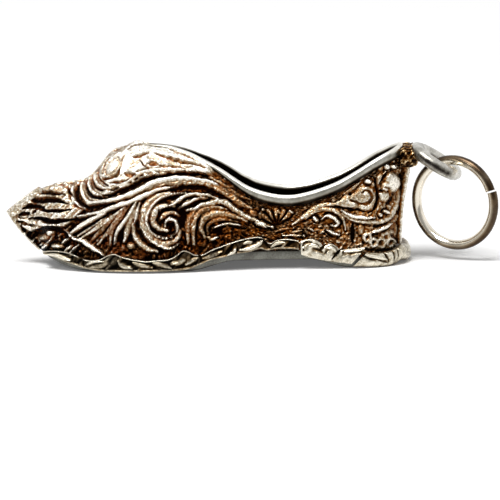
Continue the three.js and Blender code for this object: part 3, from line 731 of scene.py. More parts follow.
@dataclass(frozen=True)
class Last:
    """The form that every piece of the slipper follows.

    Its sizes are those of the construction, but the looks have a narrower opening, a wall held up behind
    the throat, a lower front of the vamp and a sole thinned at the toe. Heights, widths and reaches are
    in millimetres, and places such as the throat are shares of the length behind the toe point.

    Attributes:
        seat: Gap that the solder of a seam fills.
        toe_thin: Share of the sole's thickness that is left at the toe.
        facet_drop: How far the ridge sinks behind the toe's flat flange, over some stations.
        shoulder: Rise of the wall behind the throat.
        straight: How straight the climb to the heel is, from 0 for eased to 1.
    """

    length: float = 29.6
    ball_width: float = 9.0
    waist_width: float = 6.6
    heel_width: float = 6.3
    opening_width: float = 6.2
    toe_height: float = 4.0
    vamp_height: float = 8.7
    dip_height: float = 4.65
    heel_height: float = 8.1
    sole_thickness: float = 0.75
    arch_lift: float = 0.66
    toe_spring: float = 1.2
    wall_inset: float = 0.1
    seat: float = 0.1
    sole_front: float = 0.08
    ball_front: float = 0.21
    throat: float = 0.325
    ball_back: float = 0.465
    waist_front: float = 0.585
    dip_front: float = 0.695
    notch: float = 0.745
    dip_back: float = 0.765
    heel_front: float = 0.87
    toe_curl: float = 1.6
    toe_thin: float = 0.35
    toe_thin_zone: Zone = (2.4, 4.0)
    facet_drop: float = 0.35
    facet_stations: float = 1.6
    vamp_swell: float = 0.24
    swell_reach: Pair = (2.2, 1.1)
    shoulder: float = 0.94
    shoulder_middle: float = 14.8
    shoulder_reach: float = 3.1
    straight: float = 0.75

    @cached_property
    def sole_rail(self) -> Rail:
        """Edge of the sole, from the toe along the left, round the heel and back along the right."""
        b, w, h = self.ball_width, self.waist_width, self.heel_width
        stations = (
            *((self.sole_front, 0.0), (0.112, 0.2 * b), (0.18, 0.36 * b), (0.262, 0.46 * b)),
            *((0.345, 0.5 * b), (0.395, 0.5 * b), (0.452, 0.48 * b), (0.54, 0.25 * (b + w))),
            *((0.635, 0.52 * w), (self.notch, 0.5 * w), (0.83, 0.5 * h), (0.925, 0.43 * h)),
            *((0.968, 0.25 * h), (0.984, 0.0)),
        )
        left = np.array([(share * self.length, -half, 0.0) for share, half in stations])
        right = left[-2::-1] * np.array([1.0, -1.0, 1.0])
        return Rail(np.vstack([left, right]))

    @cached_property
    def ridge_rail(self) -> Rail:
        """Ridge of the vamp, from the toe to the throat."""
        stations = ((0.028, 0.05), (0.082, 0.38), (0.207, 0.51), (0.276, 0.92), (self.throat, 1.0))
        rise = self.vamp_height - self.toe_height
        points = [(share * self.length, 0.0, self.toe_height + up * rise) for share, up in stations]
        return Rail(np.array(points))

    @cached_property
    def opening_rail(self) -> Rail:
        """Edge of the foot opening, from the throat along the left and back along the right."""
        stations = (
            *((self.throat, 0.0), (0.346, 0.045), (0.43, 0.09), (0.528, 0.23), (0.63, 0.35)),
            *((0.717, 0.42), (0.825, 0.42), (0.935, 0.37), (0.984, 0.22), (1.0, 0.0)),
        )
        length, width = self.length, self.opening_width
        left = np.array([(share * length, -half * width, self.topline(share)) for share, half in stations])
        right = left[-2:0:-1] * np.array([1.0, -1.0, 1.0])
        return Rail(np.vstack([left, right]), closed=True)

    @property
    def throat_station(self) -> int:
        """Station at which the ridge ends and the opening begins."""
        return len(self.ridge_rail.points) - 1

    @property
    def heel_station(self) -> int:
        """Station of the heel back."""
        return len(self.sole_rail.points) // 2

    def topline(self, share: float) -> float:
        """Height of the wall along the opening: eased from the throat to a level dip, and up to the heel.

        The climb to the heel is a mix of an eased and a straight one. Behind the throat a bell curve
        holds the wall up, as the photograph shows it.

        Args:
            share: Place behind the toe point, as a share of the length.

        Returns:
            The height.
        """
        front = smooth((self.dip_front - share) / (self.dip_front - self.throat))
        climb = max((share - self.dip_back) / (1.0 - self.dip_back), 0.0)
        back = blend(smooth(climb), climb, self.straight)
        away = (share * self.length - self.shoulder_middle) / self.shoulder_reach
        held = self.shoulder * math.exp(-(away**2))
        if share < self.dip_front:
            return float(blend(self.dip_height, self.vamp_height, front)) + held
        return float(blend(self.dip_height, self.heel_height, back)) + held

    def sole_lift(self, x: Array) -> Array:
        """Height of the sole's underside: a power curve at the toe, and eased up to a level arch and down."""
        share = x / self.length
        toe = np.clip((self.ball_front - share) / (self.ball_front - self.sole_front), 0.0, None)
        rise = smooth((share - self.ball_back) / (self.waist_front - self.ball_back))
        fall = smooth((self.heel_front - share) / (self.heel_front - self.dip_back))
        return self.toe_spring * toe**self.toe_curl + self.arch_lift * rise * fall

    def sole_depth(self, x: Array) -> Array:
        """Thickness of the sole: hammered thin at the toe, and eased to the full plate."""
        return self.sole_thickness * blend(self.toe_thin, 1.0, eased(x, self.toe_thin_zone))

    def sole_edge(self, station: Array, out: Array | float) -> Array:
        """Points of the sole edge, moved level and square to it.

        Args:
            station: Station numbers.
            out: Distance outwards.

        Returns:
            Points at floor height.
        """
        step = 0.003
        last = len(self.sole_rail.points) - 1.0
        ahead = self.sole_rail.at(np.minimum(station + step, last))
        behind = self.sole_rail.at(np.maximum(station - step, 0.0))
        run = ahead - behind
        across = np.stack([run[..., 1], -run[..., 0], np.zeros_like(run[..., 0])], axis=-1)
        across /= np.linalg.norm(across, axis=-1, keepdims=True)
        return self.sole_rail.at(station) + across * np.asarray(out)[..., None]

    def crown(self, station: Array) -> Array:
        """Upper edge of the wall: the ridge of the vamp, then the edge of the opening.

        At the toe the ridge sinks by a squared sine, which bares the flat flange in front of it. Round
        the throat the edge swells by a bell curve, up into the rim.

        Args:
            station: Station numbers.

        Returns:
            Points.
        """
        ridge = self.ridge_rail.at(np.clip(station, 0.0, self.throat_station))
        sunk = np.clip(station / self.facet_stations, 0.0, 1.0)
        ridge[..., 2] -= self.facet_drop * np.sin(math.pi * sunk) ** 2
        opening = self.opening_rail.at(np.maximum(station - self.throat_station, 0.0))
        crown = np.where((station < self.throat_station)[..., None], ridge, opening)
        behind = crown[..., 0] - self.throat * self.length
        reach = np.where(behind < 0.0, *self.swell_reach)
        crown[..., 2] += self.vamp_swell * np.exp(-((behind / reach) ** 2))
        return crown

    def skin(self, station: Array, rise: Array) -> Array:
        """Outer face of the left wall before it is struck.

        Across the slipper it is an ellipse about the middle plane, cut off at the crown; a wall that is
        wider at the crown leans out by the difference.

        Args:
            station: Station numbers.
            rise: Shares of the way up, 0 at the sole and 1 at the crown.

        Returns:
            Points.
        """
        steepest = 0.985
        least_off = 1e-6
        foot = self.sole_edge(station, -self.wall_inset)
        foot[..., 2] = self.sole_lift(foot[..., 0]) + self.sole_depth(foot[..., 0])
        foot[..., 1] = np.minimum(foot[..., 1], -least_off)
        crown = self.crown(station)
        up = np.sin(rise * math.pi / 2.0)
        ratio = np.clip(crown[..., 1] / foot[..., 1], 0.0, steepest)
        point = blend(foot, crown, up[..., None])
        ellipse = foot[..., 1] * np.sqrt(1.0 - up**2 * (1.0 - ratio**2))
        point[..., 1] = np.minimum(ellipse + (crown[..., 1] - foot[..., 1] * ratio) * up, 0.0)
        return point

    def heel_back(self, z: Array) -> Array:
        """Distance of the heel wall behind the toe point, at a height: straight from foot to top."""
        ends = self.skin(np.full(2, float(self.heel_station)), np.array([0.0, 1.0]))
        return blend(ends[0, 0], ends[1, 0], (z - ends[0, 2]) / (ends[1, 2] - ends[0, 2]))


def normals(grid: Array) -> Array:
    """Unit directions out of a grid of points: its run along crossed with its run up."""
    least = 1e-9
    facing = np.cross(np.gradient(grid, axis=0), np.gradient(grid, axis=1))
    return facing / np.maximum(np.linalg.norm(facing, axis=-1, keepdims=True), least)


def averaged(grid: Array, reach: int) -> Array:
    """Mean of each place of a grid and its neighbours, as many places each way as the reach."""
    for axis in (0, 1):
        grid = sum(np.roll(grid, k, axis=axis) for k in range(-reach, reach + 1)) / (2.0 * reach + 1.0)
    return grid


def grit(shape: tuple[int, int], seed: int) -> Array:
    """Grain of struck metal on a grid: a seeded draw, averaged with its neighbours, at unit spread."""
    draw = averaged(np.random.default_rng(seed).standard_normal(shape), 1)
    return draw / draw.std()


def add_node(
    tree: bpy.types.NodeTree, kind: str, inputs: dict, output: str = "", **settings: object
) -> bpy.types.NodeSocket:
    """Adds a node with its settings, and sets or links its inputs.

    Args:
        tree: Tree that takes the node.
        kind: Type name of the node.
        inputs: Value or output socket for each input, by name or number.
        output: Name of the output that is wanted, or nothing for the first.
        **settings: Properties of the node.

    Returns:
        The output.
    """
    node = tree.nodes.new(kind)
    for key, value in settings.items():
        setattr(node, key, value)
    for key, value in inputs.items():
        if isinstance(value, bpy.types.NodeSocket):
            tree.links.new(value, node.inputs[key])
        else:
            node.inputs[key].default_value = value
    return next(socket for socket in node.outputs if socket.enabled and output in ("", socket.name))


@dataclass(frozen=True)
class Silver:
    """Sterling silver between a dark tarnish, where wear is 0, and bare metal, where it is 1; on some pieces
    this number also carries painted shade and painted highlight.

    Attributes:
        tones: Colours of the recesses, the shaded sides, the grey faces and the rubbed crests.
        stains: Tints that multiply the shaded parts, towards the toe and towards the heel.
        rough: Roughness in the recesses and on the crests.
        mottle: How far the fine grain and the broad patches move the wear.
        stops: Wear at which each tone is reached.
        noise_spread: Range of the noise that is stretched to the full mottling.
        mottle_end: Wear at which the mottling dies away again.
        patches: Noise between which a patch takes its stain.
        shaded: Wear between which the stain comes in, from none to all.
        stain_turn_mm: Places along X between which the one tint turns to the other.
    """

    name: str
    tones: tuple[str, str, str, str]
    stains: tuple[str, str]
    stained: float
    rough: Pair
    grain_mm: float
    patch_mm: float
    mottle: Pair
    bump_mm: float
    stops: ClassVar[tuple[float, float, float, float]] = (0.04, 0.3, 0.64, 1.0)
    noise_spread: ClassVar[Pair] = (0.3, 0.7)
    mottle_end: ClassVar[float] = 1.1
    patches: ClassVar[Pair] = (0.3, 0.6)
    shaded: ClassVar[Pair] = (0.76, 0.36)
    stain_turn_mm: ClassVar[Pair] = (-10.0, 0.0)

    def material(self) -> bpy.types.Material:
        """Material whose colour climbs through the tones with the wear, stained in broad patches.

        The wear is the piece's own attribute, moved by fine and broad noise in step with the wear times
        what it lacks of the mottle's end. The stain multiplies the tone where the patches are high and
        the wear is low. Roughness falls as the wear rises, and the fine noise shapes a shallow bump.

        Returns:
            The material.
        """
        material = bpy.data.materials.new(self.name)
        material.use_nodes = True
        tree = material.node_tree
        shader = tree.nodes["Principled BSDF"]
        place = add_node(tree, "ShaderNodeTexCoord", {}, "Object")
        wear_and_painted_light = add_node(tree, "ShaderNodeAttribute", {}, "Fac", attribute_name="wear_and_painted_light")
        noises = [
            add_node(tree, "ShaderNodeTexNoise", {"Vector": place, "Scale": 1.0 / (size * MM), "Detail": 4.0})
            for size in (self.grain_mm, self.patch_mm)
        ]
        lacking = add_node(tree, "ShaderNodeMath", {0: self.mottle_end, 1: wear_and_painted_light}, operation="SUBTRACT")
        room = add_node(tree, "ShaderNodeMath", {0: lacking, 1: wear_and_painted_light}, operation="MULTIPLY")
        low, high = self.noise_spread
        for noise, strength in zip(noises, self.mottle):
            spread = add_node(
                tree,
                "ShaderNodeMapRange",
                {"Value": noise, "From Min": low, "From Max": high, "To Min": -0.5, "To Max": 0.5},
            )
            shift = add_node(tree, "ShaderNodeMath", {0: spread, 1: room}, operation="MULTIPLY")
            moved = {0: shift, 1: strength, 2: wear_and_painted_light}
            wear_and_painted_light = add_node(tree, "ShaderNodeMath", moved, operation="MULTIPLY_ADD", use_clamp=True)
        tone = add_node(tree, "ShaderNodeValToRGB", {"Fac": wear_and_painted_light})
        ramp = tone.node.color_ramp.elements
        ramp[0].position = self.stops[0]
        ramp[1].position = self.stops[3]
        ramp.new(self.stops[1])
        ramp.new(self.stops[2])
        for stop, colour in zip(ramp, self.tones):
            stop.color = linear(colour)
        amount = self.stained
        for value, (low, high) in ((noises[1], self.patches), (wear_and_painted_light, self.shaded)):
            step = add_node(
                tree,
                "ShaderNodeMapRange",
                {"Value": value, "From Min": low, "From Max": high},
                interpolation_type="SMOOTHSTEP",
            )
            amount = add_node(tree, "ShaderNodeMath", {0: step, 1: amount}, operation="MULTIPLY")
        along = add_node(tree, "ShaderNodeSeparateXYZ", {0: place}, "X")
        low, high = (turn * MM for turn in self.stain_turn_mm)
        zone = add_node(tree, "ShaderNodeMapRange", {"Value": along, "From Min": low, "From Max": high})
        tints = {"Factor": zone, "A": linear(self.stains[0]), "B": linear(self.stains[1])}
        stain = add_node(tree, "ShaderNodeMix", tints, data_type="RGBA")
        layers = {"Factor": amount, "A": tone, "B": stain}
        colour = add_node(tree, "ShaderNodeMix", layers, data_type="RGBA", blend_type="MULTIPLY")
        tree.links.new(colour, shader.inputs["Base Color"])
        shader.inputs["Metallic"].default_value = 1.0
        rough = add_node(
            tree, "ShaderNodeMapRange", {"Value": wear_and_painted_light, "To Min": self.rough[0], "To Max": self.rough[1]}
        )
        tree.links.new(rough, shader.inputs["Roughness"])
        bump = add_node(tree, "ShaderNodeBump", {"Distance": self.bump_mm * MM, "Height": noises[0]})
        tree.links.new(bump, shader.inputs["Normal"])
        return material


# Struck sterling: pits stay brown black with tarnish, and rubbing bares the high lines, with a painted
# highlight along their edges.
STRUCK = Silver(
    "struck_sterling_tarnished", ("0a0302", "6c4a28", "aea086", "faf5ea"), ("eeb498", "ffc470"), 1.0,
    (0.34, 0.24), 0.16, 0.9, (1.7, 0.9), 0.09,
)
# Leaf edging: struck too, but more rubbed, with grey faces and thin dark folds.
LEAF = Silver(
    "leaf_edging_sterling_rubbed", ("080605", "463e32", "a59c88", "f2ebda"), ("d8c8b0", "ecbc78"), 0.9,
    (0.42, 0.24), 0.16, 0.9, (1.0, 0.8), 0.03,
)
# Plain sheet: satin grey from lying on its sole, with fine scratches.
SHEET = Silver(
    "plain_sterling_sheet_satin", ("0c0b0a", "44423e", "84857e", "c4c3bb"), ("d8d0c4", "d8ccb8"), 0.4,
    (0.5, 0.36), 0.1, 2.0, (0.6, 0.5), 0.006,
)
# Drawn strip: smooth and bright from handling, grey where fingers miss it, with painted shade at the rim's
# foot, on its inner face and on its right side.
DRAWN = Silver(
    "drawn_sterling_strip_worn", ("050302", "443c34", "9c9a90", "f0ede4"), ("d0b898", "d8b880"), 0.5,
    (0.5, 0.24), 0.2, 1.2, (0.3, 0.5), 0.006,
)
# Wire of the loop: satin, with a rough filed end.
WIRE = Silver(
    "sterling_wire_satin", ("080706", "2c2825", "8e8b83", "e9e6de"), ("d0c4b4", "d8c8b0"), 0.4,
    (0.42, 0.26), 0.14, 1.0, (0.6, 0.6), 0.01,
)
# Solder left as it flowed: granular and scorched brown.
SOLDER = Silver(
    "silver_solder_scorched", ("060302", "38240f", "96784c", "e2cda6"), ("e4a868", "f0b870"), 0.8,
    (0.5, 0.24), 0.2, 0.5, (3.0, 1.0), 0.08,
)
# Polished wire of the ring: clear reflections with a faint warm tarnish.
POLISHED = Silver(
    "polished_sterling_wire", ("1a1612", "4c4034", "a69c8a", "f2ebdc"), ("d8c4a8", "dcc29c"), 0.7,
    (0.3, 0.12), 0.3, 1.6, (0.15, 0.45), 0.002,
)


class Bench:
    """Where finished surfaces become pieces of the charm, in the part's own frame."""

    def __init__(self, toe: float) -> None:
        """Keeps the toe point's place along X, in metres, and no materials yet."""
        self.toe = toe
        self.materials: dict[str, bpy.types.Material] = {}

    def finish(self, silver: Silver) -> bpy.types.Material:
        """The finish's material, made once."""
        if silver.name not in self.materials:
            self.materials[silver.name] = silver.material()
        return self.materials[silver.name]

    def piece(
        self, name: str, solids: list[Solid], silver: Silver, body: Body, node: str, crease: float
    ) -> bpy.types.Object:
        """Makes one object from closed surfaces, dresses it, and puts it in the place of a CAD node.

        Args:
            name: Name of the piece.
            solids: Closed surfaces in millimetres.
            silver: Finish.
            body: Body that it rides on.
            node: CAD node that it stands for.
            crease: Least angle in degrees between faces that shows as a sharp edge.

        Returns:
            The object.
        """
        weld = 1e-7
        starts = np.cumsum([0] + [len(solid.points) for solid in solids])
        points = np.vstack([solid.points for solid in solids]) * MM
        points[:, 0] += self.toe
        faces = []
        for start, solid in zip(starts, solids):
            for block in solid.faces:
                faces.extend((block + start).tolist())
        mesh = bpy.data.meshes.new(name)
        mesh.from_pydata(points.tolist(), [], faces)
        wear_and_painted_light = mesh.attributes.new("wear_and_painted_light", "FLOAT", "POINT")
        wear_and_painted_light.data.foreach_set("value", np.concatenate([solid.wear_and_painted_light for solid in solids]).astype(np.float32))
        form = bmesh.new()
        form.from_mesh(mesh)
        bmesh.ops.remove_doubles(form, verts=form.verts, dist=weld)
        bmesh.ops.recalc_face_normals(form, faces=form.faces)
        form.to_mesh(mesh)
        form.free()
        mesh.polygons.foreach_set("use_smooth", np.ones(len(mesh.polygons), bool))
        mesh.set_sharp_from_angle(angle=math.radians(crease))
        mesh.materials.append(self.finish(silver))
        made = bpy.data.objects.new(name, mesh)
        bpy.context.scene.collection.objects.link(made)
        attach(made, body.value)
        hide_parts(node)
        log.info("%s: %d points, %d faces", name, len(mesh.vertices), len(mesh.polygons))
        return made


@dataclass(frozen=True)
class Upper:
    """The two struck half shells, with the seam flanges of the toe and the heel.

    Sizes are in millimetres, and levels run from 0, which lies the ground's depth below the skin, to 1,
    which stands proud of it. The struck face has several fine steps to each coarse one.
    """

    last: Last
    wall: float = 0.5
    ground: float = 0.28
    proud: float = 0.2
    columns: int = 110
    rows: int = 30
    fine: int = 5
    # How far hand work moves the marks, and the sizes of that unevenness along and up.
    waver: float = 0.05
    waver_mm: Pair = (1.3, 1.1)
    # The toe's dark hollow, where it ends, and the ground from the ball to the heel.
    hollow_level: float = 0.04
    toe_zone: Zone = (4.8, 1.2)
    ground_levels: Pair = (0.16, 0.4)
    ground_zone: Zone = (13.0, 14.0)
    # The pale field from the toe to the vamp, rubbed and with a painted highlight where it faces up, its
    # border, and the share of the pits rubbed off it.
    pale_levels: Pair = (0.62, 0.94)
    pale_zone: Zone = (6.5, 2.0)
    pale_rise: float = 0.2
    pale_back: Zone = (16.0, -1.2)
    pale_rub: float = 0.75
    # Broad and fine pits, and the broken bits in the hollow, where two waves together pass a height.
    pits: Pair = (0.1, 0.09)
    pit_mm: float = 0.8
    grain_seed: int = 11
    broken: float = 1.5
    broken_mm: Pair = (1.2, 0.8)
    broken_from: float = 0.12
    least_level: float = 0.02
    # Unevenness of the finished relief.
    hand: float = 0.06
    hand_mm: float = 0.6
    # Half width of the spine, its start as a share of the length, and the runs of its two ends.
    spine_reach: float = 1.3
    spine_front: float = 0.12
    spine_run: float = 1.0
    spine_fade: float = 1.8
    # The plain crown round the throat, measured from it, and its share of the wall's height.
    plain_front: Zone = (-0.6, 0.6)
    plain_back: Zone = (2.6, -1.6)
    plain_share: float = 0.06
    # Painted shade over the middle of the lower wall.
    painted_wall_shade: float = 0.2
    painted_wall_shade_middle: float = 17.0
    painted_wall_shade_reach: float = 5.5
    painted_wall_shade_below: Zone = (6.6, -1.0)
    # Seam flanges. The toe's has two edge curves, with corners in shares of their runs, a line under the
    # wall that it starts from, and a plain border, narrower below the point.
    flange: float = 0.28
    seam_wear_and_painted_light: float = 0.2
    toe_steps: int = 140
    toe_face: int = 70
    toe_back: int = 6
    toe_drop: float = 0.15
    toe_bends: Path = ((0.5, 0.42), (0.38, 0.56))
    toe_seam: Path = ((3.3, 5.2), (2.7, 4.4), (2.4, 3.4), (2.6, 2.4), (3.1, 1.6))
    toe_round: float = 0.06
    facet: Pair = (0.62, 0.2)
    facet_turn: Zone = (0.46, 0.1)
    facet_soft: float = 0.16
    facet_level: float = 0.76
    heel_steps: int = 60
    heel_width: float = 0.3
    heel_flare: float = 0.35
    heel_flare_zone: Zone = (3.5, 4.0)
    heel_foot: float = 1.3
    heel_stop: float = 0.8
    heel_wave: float = 0.04
    heel_wave_mm: float = 1.7

    def stations(self, count: int) -> Array:
        """Station numbers in equal steps along the wall, measured a little under half way up."""
        trials = 600
        height = 0.45
        trial = np.linspace(0.0, self.last.heel_station, trials)
        middle = self.last.skin(trial, np.full(trial.shape, height))
        run = np.concatenate([[0.0], np.cumsum(np.linalg.norm(np.diff(middle, axis=0), axis=1))])
        return np.interp(np.linspace(0.0, run[-1], count), run, trial)

    def spine(self, points: Array) -> Array:
        """Relief on top of the vamp, which the side elevation can't show: a midrib with slanting veins.

        The veins are a raised cosine of the distance along less a share of the distance from the ridge.
        The midrib is half round.

        Args:
            points: Points of the skin.

        Returns:
            Levels from 0 to 1.
        """
        vein, slant = 0.85, 0.9
        vein_foot, vein_rise = 0.36, 0.4
        rib_half, rib_rise = 0.22, 0.8
        off = np.abs(points[..., 1])
        veins = 0.5 + 0.5 * np.cos(2.0 * math.pi * (points[..., 0] - slant * off) / vein)
        rib = np.sqrt(np.clip(1.0 - (off / rib_half) ** 2, 0.0, 1.0))
        return np.maximum(vein_foot + vein_rise * veins, rib_rise * rib)

    def relief(self, skin: Array) -> Array:
        """Level of the relief at each point of a grid, from 0 at the ground to 1 at the crests.

        The ground is pitted and rises towards the heel, the toe has a dark hollow with broken bits, and
        above the pale line a field stands high, pale from rubbing and from a painted highlight where it
        faces up. The tool marks are carved and then struck one after another in the side elevation. Near
        the vamp's ridge they give way to the spine.

        Args:
            skin: Grid of points.

        Returns:
            Levels, as a grid.
        """
        points = skin.reshape(-1, 3)
        turned = points[:, ::-1]
        waver = np.stack([ripple(points, self.waver_mm[0]), ripple(turned, self.waver_mm[1])], axis=-1)
        spots = elevation(points) + self.waver * waver
        along = spots[:, 0]
        pale = smooth((spots[:, 1] - height_at(PALE_FROM, along)) / self.pale_rise)
        pale *= eased(along, self.pale_back)
        back = eased(along, self.toe_zone)
        grain = grit(skin.shape[:2], self.grain_seed).reshape(-1)
        pitted = self.pits[0] * ripple(points, self.pit_mm) + self.pits[1] * grain
        waves = ripple(turned, self.broken_mm[0]) + ripple(points, self.broken_mm[1])
        broken = self.broken * np.maximum(waves - self.broken_from, 0.0) * (1.0 - back)
        # Pale field level: rubbed metal, with a painted highlight where the top faces up.
        rubbed = blend(*self.pale_levels, eased(along, self.pale_zone))
        ground = blend(*self.ground_levels, eased(along, self.ground_zone))
        level = blend(blend(self.hollow_level, ground, back), rubbed, pale)
        level += (pitted + broken) * (1.0 - self.pale_rub * pale)
        level = np.clip(level, self.least_level, 1.0)
        for mark in UPPER_MARKS:
            mark.carve(spots, level)
        for mark in UPPER_MARKS:
            mark.strike(spots, level)
        level = level.reshape(skin.shape[:2])
        x = skin[..., 0]
        begun = eased(x, (self.spine_front * self.last.length, self.spine_run))
        before_throat = eased(x, (self.last.throat * self.last.length, -self.spine_fade))
        top = (1.0 - smooth(np.abs(skin[..., 1]) / self.spine_reach)) * before_throat
        level = blend(level, self.spine(skin), top * begun)
        return np.clip(level + self.hand * ripple(skin, self.hand_mm), 0.0, 1.0)

    def wall_solid(self) -> Solid:
        """The left wall: a fine struck face outside, a coarse plain face inside, and four edges.

        The struck face is the skin moved along its normal, from the ground below it to the crests
        above it. Its top row stays on the skin under the rim, and round the throat the relief fades out
        towards the crown. The plain face is the skin moved in by the wall's thickness. The wear follows
        the level, with a painted highlight on raised edges, and a bell curve paints shade over the middle
        of the lower wall.

        Returns:
            The surface.
        """
        across = self.columns * self.fine + 1
        up = self.rows * self.fine + 1
        station, rise = np.meshgrid(self.stations(across), np.linspace(0.0, 1.0, up), indexing="ij")
        skin = self.last.skin(station, rise)
        facing = normals(skin)
        level = self.relief(skin)
        behind = skin[:, -1:, 0] - self.last.throat * self.last.length
        at_throat = eased(behind, self.plain_front) * eased(behind, self.plain_back)
        lift = level * (self.ground + self.proud) - self.ground
        lift *= 1.0 - at_throat * (1.0 - smooth((1.0 - rise) / self.plain_share))
        outer = skin + facing * lift[..., None]
        outer[:, 0, 2] = skin[:, 0, 2]
        under_rim = station[:, -1] >= self.last.throat_station
        outer[under_rim, -1] = skin[under_rim, -1]
        outer[..., 1] = np.minimum(outer[..., 1], 0.0)
        pick = (slice(None, None, self.fine), slice(None, None, self.fine))
        inner = skin[pick] - facing[pick] * self.wall
        inner[..., 1] = np.minimum(inner[..., 1], 0.0)
        inner[..., 2] = np.minimum(inner[..., 2], skin[pick][:, -1:, 2])
        inner[:, 0, 2] = skin[pick][:, 0, 2]
        outside = np.arange(across * up).reshape(across, up)
        inside = across * up + np.arange(inner.shape[0] * inner.shape[1]).reshape(inner.shape[:2])
        faces = [self.grid_faces(outside), self.grid_faces(inside)]
        for edge in ((slice(None), 0), (slice(None), -1), (0, slice(None)), (-1, slice(None))):
            faces.append(self.edge_faces(outside[edge], inside[edge]))
        # Painted shade over the middle of the lower wall.
        bell = np.exp(-(((skin[..., 0] - self.painted_wall_shade_middle) / self.painted_wall_shade_reach) ** 2))
        darkening_with_painted_shade = self.painted_wall_shade * bell * eased(skin[..., 2], self.painted_wall_shade_below)
        shade = self.shade(level) * (1.0 - darkening_with_painted_shade)
        wear_and_painted_light = np.concatenate([shade.reshape(-1), np.zeros(inside.size)])
        return Solid(np.vstack([outer.reshape(-1, 3), inner.reshape(-1, 3)]), faces, wear_and_painted_light)

    @staticmethod
    def shade(level: Array) -> Array:
        """Wear of a struck face: its level, raised where it stands above the mean of its surroundings, for
        rubbed edges with a painted highlight along them.
        """
        rubbing_and_highlight, surroundings = 0.7, 4
        return np.clip(level + rubbing_and_highlight * (level - averaged(level, surroundings)), 0.0, 1.0)

    @staticmethod
    def grid_faces(numbers: Array) -> Array:
        """Four-sided faces of a grid of point numbers."""
        corners = (numbers[:-1, :-1], numbers[1:, :-1], numbers[1:, 1:], numbers[:-1, 1:])
        return np.stack(corners, axis=-1).reshape(-1, 4)

    @staticmethod
    def edge_faces(fine: Array, coarse: Array) -> Array:
        """Faces between a fine edge and a coarse one that holds every n-th of its places.

        Args:
            fine: Point numbers along the fine edge.
            coarse: Point numbers along the coarse edge.

        Returns:
            One face for each step of the coarse edge.
        """
        ratio = (len(fine) - 1) // (len(coarse) - 1)
        window = np.arange(len(coarse) - 1)[:, None] * ratio + np.arange(ratio + 1)[None, :]
        return np.hstack([fine[window], coarse[1:, None], coarse[:-1, None]])

    def toe_plate(self) -> Solid:
        """The pointed toe flange, struck with the same marks but for a plain facet along its edge.

        Its outline is two quadratic curves, from the ridge to the point and down to the sole. Each
        section runs from a line under the wall out to the edge and back along the seam plane.

        Returns:
            The surface of the left half.
        """
        last = self.last
        ridge = np.array(last.ridge_rail.points[1][[0, 2]])
        point = np.array([0.0, last.toe_height])
        front = np.array([last.sole_front * last.length, last.toe_spring - self.toe_drop])
        over, under = self.toe_bends
        bends = (
            (ridge, np.array([over[0] * ridge[0], blend(ridge[1], point[1], over[1])]), point),
            (point, np.array([under[0] * front[0], blend(point[1], front[1], under[1])]), front),
        )
        t = np.linspace(0.0, 1.0, self.toe_steps // 2)[:, None]
        lines = [(1 - t) ** 2 * a + 2 * t * (1 - t) * b + t**2 * c for a, b, c in bends]
        outer = np.vstack([lines[0], lines[1][1:]])
        inner = rail(self.toe_seam).even(len(outer))
        share = np.linspace(0.0, 1.0, self.toe_face)
        flat = blend(inner[:, None, :], outer[:, None, :], share[None, :, None])
        face = np.stack([flat[..., 0], np.full(flat.shape[:2], -self.flange), flat[..., 1]], axis=-1)
        along = np.linspace(0.0, 1.0, len(outer))
        border = blend(*self.facet, eased(along, self.facet_turn))[:, None]
        gap = np.linalg.norm(flat - outer[:, None, :], axis=-1)
        level = blend(self.relief(face), self.facet_level, smooth(0.5 + (border - gap) / self.facet_soft))
        edge = smooth(gap / self.toe_round)
        struck = (self.ground + self.proud) * (level - self.facet_level) * edge
        face[..., 1] -= struck - self.toe_round * (1.0 - edge)
        seam = flat[:, :: -self.toe_back]
        back = np.stack([seam[..., 0], np.zeros(seam.shape[:2]), seam[..., 1]], axis=-1)
        wear_and_painted_light = np.hstack([self.shade(level), np.full(back.shape[:2], self.seam_wear_and_painted_light)])
        return sweep(np.hstack([face, back]), wear_and_painted_light, closed=False)

    def heel_plate(self) -> Solid:
        """The straight flange down the heel seam: a rounded section, wider at the top.

        Its wear is an eased step across it, bright along its edge.

        Returns:
            The surface of the left half.
        """
        around, squareness = 28, 0.5
        dark, bright, uneven, uneven_mm = 0.1, 0.75, 0.1, 0.8
        edge: Zone = (0.5, 0.4)
        z = np.linspace(self.heel_foot, self.last.heel_height - self.heel_stop, self.heel_steps)[:, None]
        band = rounded_band(around, squareness)[None]
        flare = self.heel_flare * eased(z, self.heel_flare_zone)
        wave = self.heel_wave * ripple(np.repeat(z, 3, axis=1), self.heel_wave_mm)[:, None]
        out = self.heel_width + flare + wave
        points = np.empty((self.heel_steps, around, 3))
        points[..., 0] = self.last.heel_back(z) + blend(-0.5 * self.wall, out, band[..., 0])
        points[..., 1] = -self.flange * band[..., 1]
        points[..., 2] = z
        wear_and_painted_light = dark + bright * eased(band[..., 0], edge) + uneven * ripple(points, uneven_mm)
        return sweep(points, np.clip(wear_and_painted_light, 0.0, 1.0), closed=False)

    def build(self, bench: Bench) -> None:
        """Makes the left half, and the right half as its mirror image."""
        crease = 70.0
        left = [self.wall_solid(), self.toe_plate(), self.heel_plate()]
        right = [solid.mirrored() for solid in left]
        for side, solids in ((Side.LEFT, left), (Side.RIGHT, right)):
            name = f"upper_{side.name.lower()}"
            bench.piece(f"struck_{name}", solids, STRUCK, Body.SLIPPER, name, crease)


